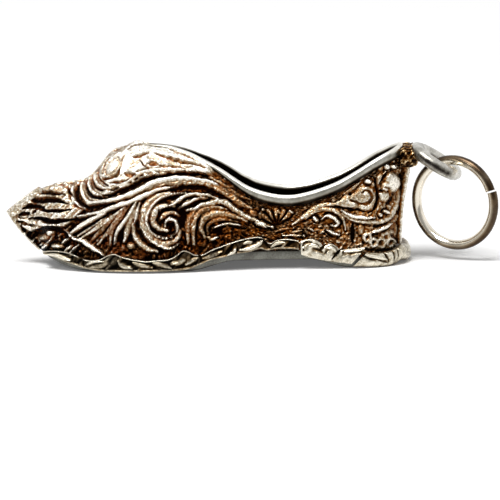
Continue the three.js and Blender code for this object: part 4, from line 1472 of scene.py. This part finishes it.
@dataclass(frozen=True)
class Sole:
    """The sole plate, with rounded edges and a painted shadow darkening its underside.

    Attributes:
        blunt: Least half width, at the toe and the heel.
        under: Wear taken off the underside and the lower edge, in a zone of the thickness, as a painted
            shadow.
        tarnish: Where the wear comes in behind the dark toe.
    """

    last: Last
    blunt: float = 0.24
    squareness: float = 0.16
    wear_and_painted_light: float = 0.55
    uneven: float = 0.12
    uneven_mm: float = 2.5
    under: float = 0.25
    painted_shadow_zone: Zone = (0.2, -0.2)
    tarnish: Zone = (2.7, 1.2)
    steps: int = 260
    around: int = 56

    def build(self, bench: Bench) -> None:
        """Sweeps a rounded rectangle along the slipper, as wide as the sole and as thick as the plate."""
        crease = 40.0
        station = np.linspace(0.0, self.last.heel_station, self.steps)
        edge = self.last.sole_edge(station, 0.0)
        half = np.maximum(-edge[:, 1], self.blunt)
        low = self.last.sole_lift(edge[:, 0])
        band = rounded_band(self.around, self.squareness)
        points = np.empty((self.steps, self.around, 3))
        points[..., 0] = edge[:, None, 0]
        points[..., 1] = half[:, None] * (2.0 * band[None, :, 0] - 1.0)
        points[..., 2] = low[:, None] + self.last.sole_depth(edge[:, :1]) * band[None, :, 1]
        wear_and_painted_light = self.wear_and_painted_light + self.uneven * ripple(points, self.uneven_mm)
        # Painted shadow on the underside and the lower edge.
        wear_and_painted_light -= self.under * eased(band[None, :, 1], self.painted_shadow_zone)
        wear_and_painted_light *= eased(points[..., 0], self.tarnish)
        plate = sweep(points, wear_and_painted_light, closed=False)
        bench.piece("sole", [plate], SHEET, Body.SLIPPER, "sole_plate", crease)


@dataclass(frozen=True)
class Rim:
    """The strip round the foot opening, thinner towards the throat.

    Zones along it are in shares of the way from the throat to the front of the dip.

    Attributes:
        sunk: How far its foot reaches below the wall's edge.
        proud: How far it stands out over the wall; at the throat it stands in.
        wave: Unevenness of hand fitting, out and up.
        dome: Points over its top.
    """

    last: Last
    width: float = 0.5
    height: float = 0.62
    throat_width: float = 0.28
    throat_height: float = 0.12
    width_zone: Zone = (0.0, 0.5)
    height_zone: Zone = (0.45, 0.5)
    sunk: float = 0.08
    proud: float = 0.12
    throat_proud: float = -0.08
    proud_zone: Zone = (0.0, 0.6)
    wave: Pair = (0.025, 0.02)
    wave_mm: Pair = (4.0, 3.0)
    steps: int = 720
    dome: int = 16

    def profile(self) -> Array:
        """Section of the strip: straight sides and a half-round top, as shares across and up."""
        shoulder = 0.5
        angle = np.linspace(0.0, math.pi, self.dome)
        arc = np.stack([0.5 - 0.5 * np.cos(angle), shoulder + (1.0 - shoulder) * np.sin(angle)], axis=-1)
        left = np.array([(0.04, 0.0), (0.0, 0.08), (0.0, 0.3)])
        right = left[::-1] * np.array([-1.0, 1.0]) + np.array([1.0, 0.0])
        return np.vstack([left, arc, right])

    def wear_and_painted_light(self, points: Array, share: Array, right: Array) -> Array:
        """Wear of the strip: a painted shadow at its foot, brighter up its side and again on its top
        from handling and a painted highlight, and painted shade on its inner face.

        It is dulled at the throat, and painted shade darkens the right side as far as the dip. Each
        change is an eased step, and a ripple makes the whole uneven.

        Args:
            points: Points by step and place in the section.
            share: Share of the way from the throat to the dip at each step.
            right: Whether each step lies on the right side.

        Returns:
            Wear by step and place in the section.
        """
        painted_foot_shadow, side_wear, top_wear_and_painted_highlight = 0.06, 0.58, 0.34
        side, top, throat = (0.06, 0.24), (0.55, 0.35), (0.0, 0.3)
        inner_top = right_end = (0.5, 0.3)
        uneven, uneven_mm = 0.1, 1.4
        inner_painted_shade, right_painted_shade, throat_wear = 0.95, 0.4, 0.45
        profile = self.profile()[None]
        across, up = profile[..., 0], profile[..., 1]
        # A painted shadow keeps the foot dark where the strip meets the wall; the top is brighter from
        # handling and a painted highlight.
        worn_and_painted = painted_foot_shadow + side_wear * eased(up, side) + top_wear_and_painted_highlight * eased(up, top)
        worn_and_painted = worn_and_painted + uneven * ripple(points, uneven_mm)
        # Painted shade on the inner face, and on the right side as far as the dip.
        inner = (across > 0.5) * (1.0 - eased(up, inner_top))
        far = right * (1.0 - eased(share, right_end))
        darkening_with_painted_shade = blend(throat_wear, 1.0, eased(share, throat)) * (1.0 - right_painted_shade * far)
        return worn_and_painted * (1.0 - inner_painted_shade * inner) * darkening_with_painted_shade[:, None]

    def build(self, bench: Bench) -> None:
        """Carries the section round the opening, with the slight waves of hand fitting."""
        crease = 50.0
        step = 0.003
        last = self.last
        station = np.linspace(0.0, len(last.opening_rail.points), self.steps, endpoint=False)
        crown = last.opening_rail.at(station)
        run = last.opening_rail.at(station + step) - last.opening_rail.at(station - step)
        outward = np.stack([run[:, 1], -run[:, 0], np.zeros(self.steps)], axis=-1)
        outward /= np.linalg.norm(outward, axis=1, keepdims=True)
        share = (crown[:, 0] / last.length - last.throat) / (last.dip_front - last.throat)
        height = last.seat + blend(self.throat_height, self.height, eased(share, self.height_zone))
        proud = blend(self.throat_proud, self.proud, eased(share, self.proud_zone))
        width = blend(self.throat_width, self.width, eased(share, self.width_zone))
        profile = self.profile()[None]
        across, up = profile[..., 0], profile[..., 1]
        out = (proud + self.wave[0] * ripple(crown, self.wave_mm[0]))[:, None] - width[:, None] * across
        points = crown[:, None, :] + outward[:, None, :] * out[..., None]
        points[..., 2] += height[:, None] * up - self.sunk * (up == 0.0)
        points[..., 2] += self.wave[1] * ripple(crown, self.wave_mm[1])[:, None]
        strip = sweep(points, self.wear_and_painted_light(points, share, crown[:, 1] > 0.0), closed=True)
        bench.piece("rim", [strip], DRAWN, Body.SLIPPER, "rim_strip", crease)


@dataclass(frozen=True)
class LeafStrip:
    """One run of the leaf edging, outside the sole edge.

    Attributes:
        name: CAD node that it stands for, without its side.
        span: Stations of its two ends on the left.
        slant: Lean of its two ends, in stations over its height.
        round_heel: Whether it runs on round the heel to the right side.
        base: Level of its face between the marks.
        back_swell: How much further it stands out at the heel back.
        lumps: Height of the rough lumps on its face.
        hollow: Depth of its face from the highest level to the lowest.
    """

    name: str
    span: Pair
    slant: Pair
    top: Path
    bottom: Path
    marks: Marks
    round_heel: bool = False
    base: float = 0.06
    squareness: float = 0.5
    thickness: float = 0.5
    back_swell: float = 0.2
    lumps: float = 0.1
    hollow: float = 0.24
    steps: int = 520
    around: int = 72

    def solid(self, last: Last) -> Solid:
        """The strip on the left: a rounded section between its two edges, with its face struck.

        The edges are laid out in the elevation, and no point goes below the floor. A fold runs along the
        upper edge and a lower one along the other, each one less the square of the distance from it.

        Args:
            last: Form of the slipper.

        Returns:
            The surface.
        """
        heel_back: Zone = (27.6, 1.2)
        face_zone: Zone = (0.5, 0.4)
        uneven, uneven_mm = 0.12, 1.4
        lump_mm, lump_foot = 0.9, -0.3
        fold, lower_fold = 0.16, 0.7
        mean_level = 0.6
        hidden_wear = 0.4
        band = rounded_band(self.around, self.squareness)
        share = np.linspace(0.0, 1.0, self.steps)[:, None]
        lean = band[None, :, 1] - 0.5
        ends = [end + slant * lean for end, slant in zip(self.span, self.slant)]
        station = blend(ends[0], ends[1], share)
        edge = last.sole_edge(station, 0.0)
        swell = self.back_swell * eased(edge[..., 0], heel_back)
        out = blend(-last.seat, last.seat + self.thickness + swell, band[None, :, 0])
        points = last.sole_edge(station, out)
        spots = elevation(points)
        low = height_at(self.bottom, spots[..., 0])
        high = height_at(self.top, spots[..., 0])
        seen = blend(low, high, band[None, :, 1])
        points[..., 2] = np.maximum((seen - spots[..., 1]) / math.cos(VIEW_ELEVATION), 0.0)
        spots = elevation(points).reshape(-1, 2)
        flat = points.reshape(-1, 3)
        level = self.base + uneven * ripple(flat, uneven_mm)
        level += self.lumps * np.maximum(ripple(flat[:, ::-1], lump_mm), lump_foot)
        for mark in self.marks:
            mark.carve(spots, level)
        for away, rise in ((high - seen, 1.0), (seen - low, lower_fold)):
            crest = np.clip(1.0 - (away.reshape(-1) / fold) ** 2, 0.0, 1.0)
            level = np.maximum(level, rise * crest)
        for mark in self.marks:
            mark.strike(spots, level)
        level = np.clip(level.reshape(station.shape), 0.0, 1.0)
        face = eased(band[None, :, 0], face_zone)
        outward = last.sole_edge(station, 1.0) - edge
        points += outward * (self.hollow * face * (level - mean_level))[..., None]
        return sweep(points, level * blend(hidden_wear, 1.0, face), closed=False)

    def build(self, bench: Bench, last: Last) -> None:
        """Makes the strip on both sides, or once round the heel."""
        crease = 60.0
        left = self.solid(last)
        if self.round_heel:
            bench.piece(f"leaf_{self.name}", [left], LEAF, Body.SLIPPER, self.name, crease)
            return
        for side, solid in ((Side.LEFT, left), (Side.RIGHT, left.mirrored())):
            node = f"{self.name}_{side.name.lower()}"
            bench.piece(f"leaf_{node}", [solid], LEAF, Body.SLIPPER, node, crease)


FORE_STRIP = LeafStrip(
    "fore_strip",
    (1.0, 8.98),
    (0.0, 0.0),
    top=(
        ((2.4, 1.02), (3.4, 1.1), (4.4, 1.0), (5.0, 0.8), (5.6, 0.52), (6.2, 0.36), (7.0, 0.45), (7.5, 0.7))
        + ((8.0, 0.82), (8.6, 0.6), (9.4, 0.4), (10.4, 0.26), (11.2, 0.32), (12.0, 0.38), (12.6, 0.66))
        + ((13.1, 1.02), (13.5, 0.95), (13.9, 0.74), (14.5, 0.72), (15.2, 1.05), (16.0, 1.35), (17.0, 1.68))
        + ((18.0, 1.92), (18.9, 1.95), (19.3, 1.62), (19.6, 1.52), (20.0, 1.72), (20.8, 1.82), (21.6, 1.7))
    ),
    bottom=(
        ((2.4, 0.92), (3.4, 0.62), (4.4, 0.22), (5.2, -0.05), (5.8, -0.25), (7.0, -0.48), (9.0, -0.55))
        + ((12.0, -0.52), (13.5, -0.38), (14.5, 0.0), (15.2, 0.28), (16.2, 0.48), (17.0, 0.72), (18.0, 0.84))
        + ((18.8, 1.08), (19.3, 0.95), (19.9, 1.05), (21.0, 1.05), (21.6, 1.0))
    ),
    marks=(
        Ridge(((2.9, 0.8), (3.6, 0.75), (4.2, 0.52), (4.7, 0.35)), 0.24),
        Ridge(((5.9, 0.0), (6.4, 0.22), (7.2, 0.25)), 0.2, 0.9),
        Ridge(((6.2, -0.2), (7.0, -0.1), (7.6, 0.2)), 0.26, 0.6),
        Ridge(((8.3, 0.25), (8.6, -0.1), (9.3, -0.3)), 0.26, 0.7),
        Ridge(((9.4, 0.15), (9.9, -0.05), (10.8, -0.25)), 0.24, 0.65),
        Ridge(((10.9, 0.1), (11.5, -0.05), (12.2, -0.3)), 0.26, 0.7),
        Ridge(((12.2, 0.05), (12.8, 0.1), (13.3, 0.4)), 0.26, 0.75),
        Ridge(((13.3, -0.05), (13.8, 0.25), (14.2, 0.45)), 0.24, 0.7),
        Ridge(((14.5, 0.35), (15.3, 0.6), (16.0, 0.95)), 0.22, 0.6),
        Ridge(((16.4, 0.62), (16.8, 0.8), (17.1, 1.2)), 0.22, 0.9),
        Ridge(((17.3, 1.0), (18.1, 1.1), (18.7, 1.4), (19.0, 1.7)), 0.26, 0.9),
        Ridge(((17.6, 1.5), (18.2, 1.6)), 0.22, 0.8),
        Ridge(((19.6, 1.2), (20.0, 1.45), (20.6, 1.55)), 0.24, 0.8),
        Cut(((19.05, 1.75), (19.25, 1.4), (19.5, 1.15)), 0.22, 0.9),
        Cut(((14.25, 0.7), (14.45, 0.4), (14.4, 0.1)), 0.18, 0.9),
        Cut(((5.3, 0.7), (5.6, 0.4), (5.7, -0.1)), 0.2, 0.9),
        Cut(((16.95, 1.55), (17.15, 1.2), (17.05, 0.8)), 0.18, 0.85),
    ),
    lumps=0.6,
)

QUARTER_STRIP = LeafStrip(
    "quarter_strip",
    (9.04, 10.59),
    (0.0, 0.35),
    top=(
        ((21.3, 1.6), (21.75, 1.64), (22.2, 1.76), (22.7, 1.8), (23.25, 1.52), (23.5, 1.26), (24.0, 1.45))
        + ((24.45, 1.22), (24.75, 0.98), (25.4, 1.05), (26.0, 1.1), (26.6, 1.15))
    ),
    bottom=(
        ((21.3, 0.9), (21.8, 0.62), (22.3, 0.42), (23.2, 0.22), (24.2, 0.06), (25.2, -0.08))
        + ((26.6, -0.25),)
    ),
    marks=(
        Ridge(((22.3, 1.2), (22.8, 1.28), (23.15, 1.12)), 0.26),
        Ridge(((23.75, 1.1), (24.15, 1.08), (24.4, 0.85)), 0.22),
        Ridge(((25.0, 0.82), (25.7, 0.88), (26.3, 0.92)), 0.2),
        Cut(((21.95, 1.3), (22.2, 1.5), (22.6, 1.52)), 0.24, 0.75),
        Cut(((21.95, 0.95), (22.8, 1.0), (23.4, 0.8), (23.8, 0.66)), 0.11, 0.85),
        Cut(((23.05, 0.9), (23.38, 1.12), (23.55, 1.32)), 0.18, 0.9),
        Cut(((23.6, 0.86), (24.1, 0.82), (24.35, 0.62)), 0.1, 0.7),
        Cut(((24.1, 0.3), (24.45, 0.68), (24.72, 1.0)), 0.2, 0.9),
        Cut(((24.7, 0.55), (25.4, 0.7), (26.1, 0.74)), 0.09, 0.5),
    ),
    base=0.8,
)

HEEL_STRIP = LeafStrip(
    "heel_strip",
    (10.63, 15.37),
    (0.35, -0.35),
    top=((25.4, 0.8), (26.3, 0.8), (27.0, 0.74), (27.8, 0.74), (28.4, 0.88), (28.8, 1.1), (29.2, 1.4)),
    bottom=((25.4, -0.3), (26.6, -0.34), (28.0, -0.32), (28.7, -0.16), (29.2, 0.14)),
    marks=(
        Ridge(((26.5, 0.6), (27.2, 0.46), (28.2, 0.2)), 0.3),
        Cut(((26.6, 0.32), (27.4, 0.2), (28.2, -0.02)), 0.1, 0.6),
        Cut(((27.9, 0.7), (28.15, 0.42), (28.3, 0.05)), 0.16, 0.85),
        Cut(((28.5, 0.95), (28.68, 0.55), (28.66, 0.12)), 0.14, 0.8),
        Cut(((28.9, 1.15), (28.98, 0.7), (28.95, 0.3)), 0.12, 0.7),
    ),
    round_heel=True,
    base=0.8,
    squareness=0.95,
    thickness=0.6,
)


@dataclass(frozen=True)
class Hanger:
    """The heel loop with its solder, and the jump ring that hangs in it.

    Attributes:
        loop_length: Distance between the loop's wire at the heel and at the hanging side, as built.
        heel_gap: How much further back the loop's heel side starts.
        hammered: Share of the loop's thickness that hammering left.
        ring_yaw: Turn of the ring about the upright.
        ring_cut: Angle of the ring's cut above the level.
        ring_step: Sideways step between the wire's ends.
        ring_play: Gap between the ring and the loop.
    """

    last: Last
    loop_wire: float = 1.1
    loop_length: float = 3.62
    loop_width: float = 3.4
    loop_tilt: float = math.radians(33.0)
    heel_gap: float = 0.35
    hammered: float = 0.86
    rim_proud: float = 0.12
    rim_height: float = 0.62
    solder_depth: float = 1.65
    solder_width: float = 3.0
    ring_diameter: float = 7.1
    ring_wire: float = 0.72
    ring_yaw: float = math.radians(-25.0)
    ring_cut: float = math.radians(18.0)
    ring_step: float = 0.16
    ring_gap: float = 0.12
    ring_play: float = 0.06
    sides: int = 36

    @cached_property
    def foot(self) -> Array:
        """Centre of the loop's wire where it meets the heel, behind the rim."""
        x = self.last.length + self.rim_proud + self.last.seat + 0.5 * self.loop_wire
        return np.array([x, 0.0, self.last.heel_height + self.last.seat + 0.5 * self.rim_height])

    @cached_property
    def reach(self) -> Array:
        """Direction from the heel side of the loop to its hanging side."""
        return np.array([math.cos(self.loop_tilt), 0.0, -math.sin(self.loop_tilt)])

    def wire(self, path: Array, outward: Array, over: Array, thick: float) -> tuple[Array, Array, Array]:
        """Round wire along a path: at each step, a circle in the plane of two directions.

        Args:
            path: Points along its middle.
            outward: Direction out of the path's curve at each of them.
            over: Direction across that curve, the same for all.
            thick: Thickness of the wire.

        Returns:
            Angles round the circle, its directions by step and angle, and the points.
        """
        turn = np.linspace(0.0, 2.0 * math.pi, self.sides, endpoint=False)
        circle = np.cos(turn)[None, :, None] * outward[:, None, :] + np.sin(turn)[None, :, None] * over
        return turn, circle, path[:, None, :] + 0.5 * thick * circle

    def loop(self) -> Solid:
        """Wire along an ellipse in the tilted plane, flattened a little by hammering.

        It is rough and bright on the hanging side. Elsewhere a bell curve paints a dark reflection along the
        outer flank.

        Returns:
            The surface.
        """
        steps = 260
        hang_zone: Zone = (0.55, 0.3)
        wave, wave_mm = 0.018, 1.6
        rough, rough_mm = 0.035, 0.5
        bright, uneven, hang_wear = 0.8, 0.12, 0.1
        painted_band_loss, painted_band_reach = 0.58, 0.4
        angle = np.linspace(0.0, 2.0 * math.pi, steps, endpoint=False)
        across = np.array([0.0, 1.0, 0.0])
        half = 0.5 * (self.loop_length - self.heel_gap)
        wide = 0.5 * self.loop_width
        centre = self.foot + (self.heel_gap + half) * self.reach
        path = centre + half * np.cos(angle)[:, None] * self.reach + wide * np.sin(angle)[:, None] * across
        outward = wide * np.cos(angle)[:, None] * self.reach + half * np.sin(angle)[:, None] * across
        outward /= np.linalg.norm(outward, axis=1, keepdims=True)
        over = self.hammered * np.cross(self.reach, across)
        turn, circle, points = self.wire(path, outward, over, self.loop_wire)
        hanging = eased(np.cos(angle), hang_zone)[:, None]
        dents = wave * ripple(points, wave_mm) + rough * hanging * ripple(points, rough_mm)
        points += circle * dents[..., None]
        # Painted dark reflection: a band along the outer flank of the loop's two sides.
        bell = np.exp(-((np.sin(turn) / painted_band_reach) ** 2)) * (np.cos(turn) > 0.0)
        painted_band = np.abs(np.sin(angle))[:, None] * bell
        wear_and_painted_light = bright + uneven * ripple(points, wave_mm) + hang_wear * hanging
        wear_and_painted_light -= painted_band_loss * painted_band * (1.0 - hanging)
        return sweep(points, np.clip(wear_and_painted_light, 0.0, 1.0), closed=True)

    def solder(self) -> Solid:
        """Lump in the corner under the loop: a rounded wedge across the seam, rough with grains.

        The section runs from the heel wall to the loop's underside. Towards the sides of the slipper it
        shrinks by the square root of one less the fourth power of the share of the way.

        Returns:
            The surface.
        """
        steps, around, squareness = 60, 48, 0.8
        above, beyond = 0.2, 0.75
        end = 0.98
        lump_mm, grain_mm, uneven = 0.6, 0.33, 0.9
        depth, sunk = 0.12, 0.12
        mean_wear, crest_wear = 0.28, 0.7
        high = self.foot[2] + above * self.loop_wire
        low = high - self.solder_depth
        share = np.linspace(-end, end, steps)
        size = np.sqrt(1.0 - share**4)[:, None]
        band = rounded_band(around, squareness)
        back = self.last.heel_back(np.array([low, high]))
        middle = np.array([blend(back[0], self.foot[0], 0.5), blend(low, high, 0.5)])
        wide = self.foot[0] + beyond * self.loop_wire - back[0]
        points = np.empty((steps, around, 3))
        points[..., 0] = middle[0] + size * wide * (band[None, :, 0] - 0.5)
        points[..., 1] = 0.5 * self.solder_width * share[:, None]
        points[..., 2] = middle[1] + size * self.solder_depth * (band[None, :, 1] - 0.5)
        rough = uneven * ripple(points, lump_mm) + uneven * ripple(points[..., ::-1], grain_mm)
        away = points - np.array([middle[0], 0.0, middle[1]])
        away /= np.linalg.norm(away, axis=-1, keepdims=True)
        points = points + away * (depth * rough)[..., None]
        points[..., 0] = np.maximum(points[..., 0], self.last.heel_back(points[..., 2]) - sunk)
        return sweep(points, np.clip(mean_wear + crest_wear * rough, 0.0, 1.0), closed=False)

    def ring(self) -> Solid:
        """One turn of round wire, cut at the upper right, its ends stepped to the sides.

        A painted dark reflection lowers its wear towards the outside of the ring, by an eased step of the
        cosine round the wire.

        Returns:
            The surface.
        """
        steps = 420
        wave, wave_mm = 0.006, 2.2
        bright, outer_painted_reflection, outer_slope = 0.92, 0.6, 0.9
        uneven, uneven_mm = 0.12, 3.0
        radius = 0.5 * (self.ring_diameter - self.ring_wire)
        opening = self.ring_gap / radius
        share = np.linspace(0.0, 1.0, steps)
        angle = self.ring_cut + 0.5 * opening + share * (2.0 * math.pi - opening)
        outward = np.stack([np.cos(angle), np.zeros(steps), np.sin(angle)], axis=-1)
        path = radius * outward
        path[:, 1] = self.ring_step * (share - 0.5)
        over = np.array([0.0, 1.0, 0.0])
        turn, circle, points = self.wire(path, outward, over, self.ring_wire)
        points += circle * (wave * ripple(points, wave_mm))[..., None]
        c, s = math.cos(self.ring_yaw), math.sin(self.ring_yaw)
        points = points @ np.array([[c, s, 0.0], [-s, c, 0.0], [0.0, 0.0, 1.0]])
        drop = radius - 0.5 * (self.loop_wire + self.ring_wire) - self.ring_play
        points += self.foot + self.loop_length * self.reach - np.array([0.0, 0.0, drop])
        # Painted dark reflection on the outer side of the wire.
        outside = smooth(0.5 + outer_slope * np.cos(turn))[None, :]
        wear_and_painted_light = bright - outer_painted_reflection * outside + uneven * ripple(points, uneven_mm)
        return sweep(points, np.clip(wear_and_painted_light, 0.0, 1.0), closed=False)

    def build(self, bench: Bench) -> None:
        """Makes the loop, the solder and the ring."""
        crease, ring_crease = 60.0, 40.0
        bench.piece("loop", [self.loop()], WIRE, Body.SLIPPER, "heel_loop", crease)
        bench.piece("solder", [self.solder()], SOLDER, Body.SLIPPER, "loop_solder", crease)
        bench.piece("ring", [self.ring()], POLISHED, Body.RING, "jump_ring", ring_crease)


@dataclass(frozen=True)
class Studio:
    """White floor, soft lamps and the camera at the photograph's viewing angle, in millimetres.

    Attributes:
        roll: Slight tilt of the photograph.
        floor_lift: Glow of the floor for rays that see it.
        room_levels: Strength of the room at the level and overhead.
        room_top: Height of the direction at which the room is full.
        backdrop_axis: Direction that the backdrop is measured along.
        backdrop_span: Places along that axis between which it comes in.
        backdrop_least: Strength in front of it.
    """

    frame_px: float = 500.0
    px_per_mm: float = 13.45
    distance: float = 520.0
    sensor: float = 36.0
    aim: tuple[float, float, float] = (-0.22, 0.0, 0.88)
    roll: float = math.radians(1.26)
    floor_size: float = 6000.0
    floor_white: float = 0.98
    floor_rough: float = 0.9
    floor_lift: float = 0.12
    room_levels: Pair = (0.04, 0.12)
    room_top: float = 0.8
    backdrop_axis: tuple[float, float, float] = (0.0, 1.0, 0.8)
    backdrop_span: Pair = (-0.6, 0.1)
    backdrop_least: float = 0.38
    key_place: tuple[float, float, float] = (-150.0, -420.0, 1000.0)
    key_size: float = 600.0
    key_watts: float = 12.4
    fill_place: tuple[float, float, float] = (-600.0, -900.0, 700.0)
    fill_size: float = 150.0
    fill_watts: float = 2.0

    def camera(self) -> None:
        """Aims a long lens down at the slipper, rolled by the photograph's slight tilt."""
        aim = Vector(self.aim) * MM
        level = math.cos(VIEW_ELEVATION)
        back = Vector((level * math.sin(VIEW_YAW), -level * math.cos(VIEW_YAW), math.sin(VIEW_ELEVATION)))
        data = bpy.data.cameras.new("camera")
        data.sensor_width = self.sensor
        data.lens = self.sensor * self.distance * self.px_per_mm / self.frame_px
        data.clip_start = MM
        camera = bpy.data.objects.new("camera", data)
        turn = back.to_track_quat("Z", "Y").to_matrix() @ Matrix.Rotation(-self.roll, 3, "Z")
        camera.matrix_world = Matrix.Translation(aim + back * self.distance * MM) @ turn.to_4x4()
        bpy.context.scene.collection.objects.link(camera)
        bpy.context.scene.camera = camera

    @staticmethod
    def seen(tree: bpy.types.NodeTree) -> bpy.types.NodeSocket:
        """One for rays that see a surface directly, in metal or through glass, and nought for the others."""
        seen = 0.0
        for kind in ("Is Camera Ray", "Is Glossy Ray", "Is Transmission Ray"):
            ray = add_node(tree, "ShaderNodeLightPath", {}, kind)
            seen = add_node(tree, "ShaderNodeMath", {0: ray, 1: seen}, operation="MAXIMUM")
        return seen

    def floor(self) -> None:
        """Lays a matt white sheet; rays that see it directly or in metal get its white lifted a little."""
        half = 0.5 * self.floor_size * MM
        mesh = bpy.data.meshes.new("floor")
        corners = [(-half, -half, 0.0), (half, -half, 0.0), (half, half, 0.0), (-half, half, 0.0)]
        mesh.from_pydata(corners, [], [(0, 1, 2, 3)])
        material = bpy.data.materials.new("matt_white_paper")
        material.use_nodes = True
        tree = material.node_tree
        shader = tree.nodes["Principled BSDF"]
        shader.inputs["Base Color"].default_value = (self.floor_white,) * 3 + (1.0,)
        shader.inputs["Roughness"].default_value = self.floor_rough
        shader.inputs["Specular IOR Level"].default_value = 0.0
        glow = {0: self.seen(tree), 1: self.floor_lift}
        lift = add_node(tree, "ShaderNodeMath", glow, operation="MULTIPLY")
        shader.inputs["Emission Color"].default_value = (1.0, 1.0, 1.0, 1.0)
        tree.links.new(lift, shader.inputs["Emission Strength"])
        mesh.materials.append(material)
        floor = bpy.data.objects.new("floor", mesh)
        bpy.context.scene.collection.objects.link(floor)
        floor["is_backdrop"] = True

    def lamp(self, name: str, place: tuple[float, float, float], size: float, watts: float) -> None:
        """Hangs a square soft lamp that faces the slipper.

        Args:
            name: Name of the lamp.
            place: Place in millimetres.
            size: Side in millimetres.
            watts: Power.
        """
        data = bpy.data.lights.new(name, "AREA")
        data.shape = "SQUARE"
        data.size = size * MM
        data.energy = watts
        lamp = bpy.data.objects.new(name, data)
        at = Vector(place) * MM
        lamp.matrix_world = Matrix.Translation(at) @ at.to_track_quat("Z", "Y").to_matrix().to_4x4()
        bpy.context.scene.collection.objects.link(lamp)

    def world(self) -> None:
        """Dim grey room on the camera's side, lighter overhead, with a white backdrop behind the slipper.

        The room's strength climbs with the height of the direction. The backdrop shows only to rays that
        see it directly or in metal, by an eased step in the direction's product with the backdrop's axis.
        """
        world = bpy.data.worlds.new("room")
        world.use_nodes = True
        tree = world.node_tree
        direction = add_node(tree, "ShaderNodeTexCoord", {}, "Generated")
        height = add_node(tree, "ShaderNodeSeparateXYZ", {0: direction}, "Z")
        product = {0: direction, 1: self.backdrop_axis}
        behind = add_node(tree, "ShaderNodeVectorMath", product, "Value", operation="DOT_PRODUCT")
        dim, full = self.room_levels
        climb = {"Value": height, "From Max": self.room_top, "To Min": dim, "To Max": full}
        room = add_node(tree, "ShaderNodeMapRange", climb)
        low, high = self.backdrop_span
        step = {"Value": behind, "From Min": low, "From Max": high, "To Min": self.backdrop_least}
        backdrop = add_node(tree, "ShaderNodeMapRange", step, interpolation_type="SMOOTHSTEP")
        backdrop = add_node(tree, "ShaderNodeMath", {0: backdrop, 1: self.seen(tree)}, operation="MULTIPLY")
        level = add_node(tree, "ShaderNodeMath", {0: room, 1: backdrop}, operation="MAXIMUM")
        tree.links.new(level, tree.nodes["Background"].inputs["Strength"])
        tree.nodes["Background"].inputs["Color"].default_value = (1.0, 1.0, 1.0, 1.0)
        bpy.context.scene.world = world

    def build(self) -> None:
        """Makes the camera, the floor, the room and the lamps, and sets the plain view transform."""
        self.camera()
        self.floor()
        self.world()
        self.lamp("key", self.key_place, self.key_size, self.key_watts)
        self.lamp("fill", self.fill_place, self.fill_size, self.fill_watts)
        bpy.context.scene.view_settings.view_transform = "Standard"


def main() -> None:
    """Loads the frame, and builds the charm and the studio."""
    logging.basicConfig(level=logging.INFO, format="%(name)s: %(message)s")
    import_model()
    cad_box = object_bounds()
    bench = Bench(cad_box[0].x)
    last = Last()
    Upper(last).build(bench)
    Sole(last).build(bench)
    Rim(last).build(bench)
    for strip in (FORE_STRIP, QUARTER_STRIP, HEEL_STRIP):
        strip.build(bench, last)
    Hanger(last).build(bench)
    Studio().build()


if __name__ == "__main__":
    main()
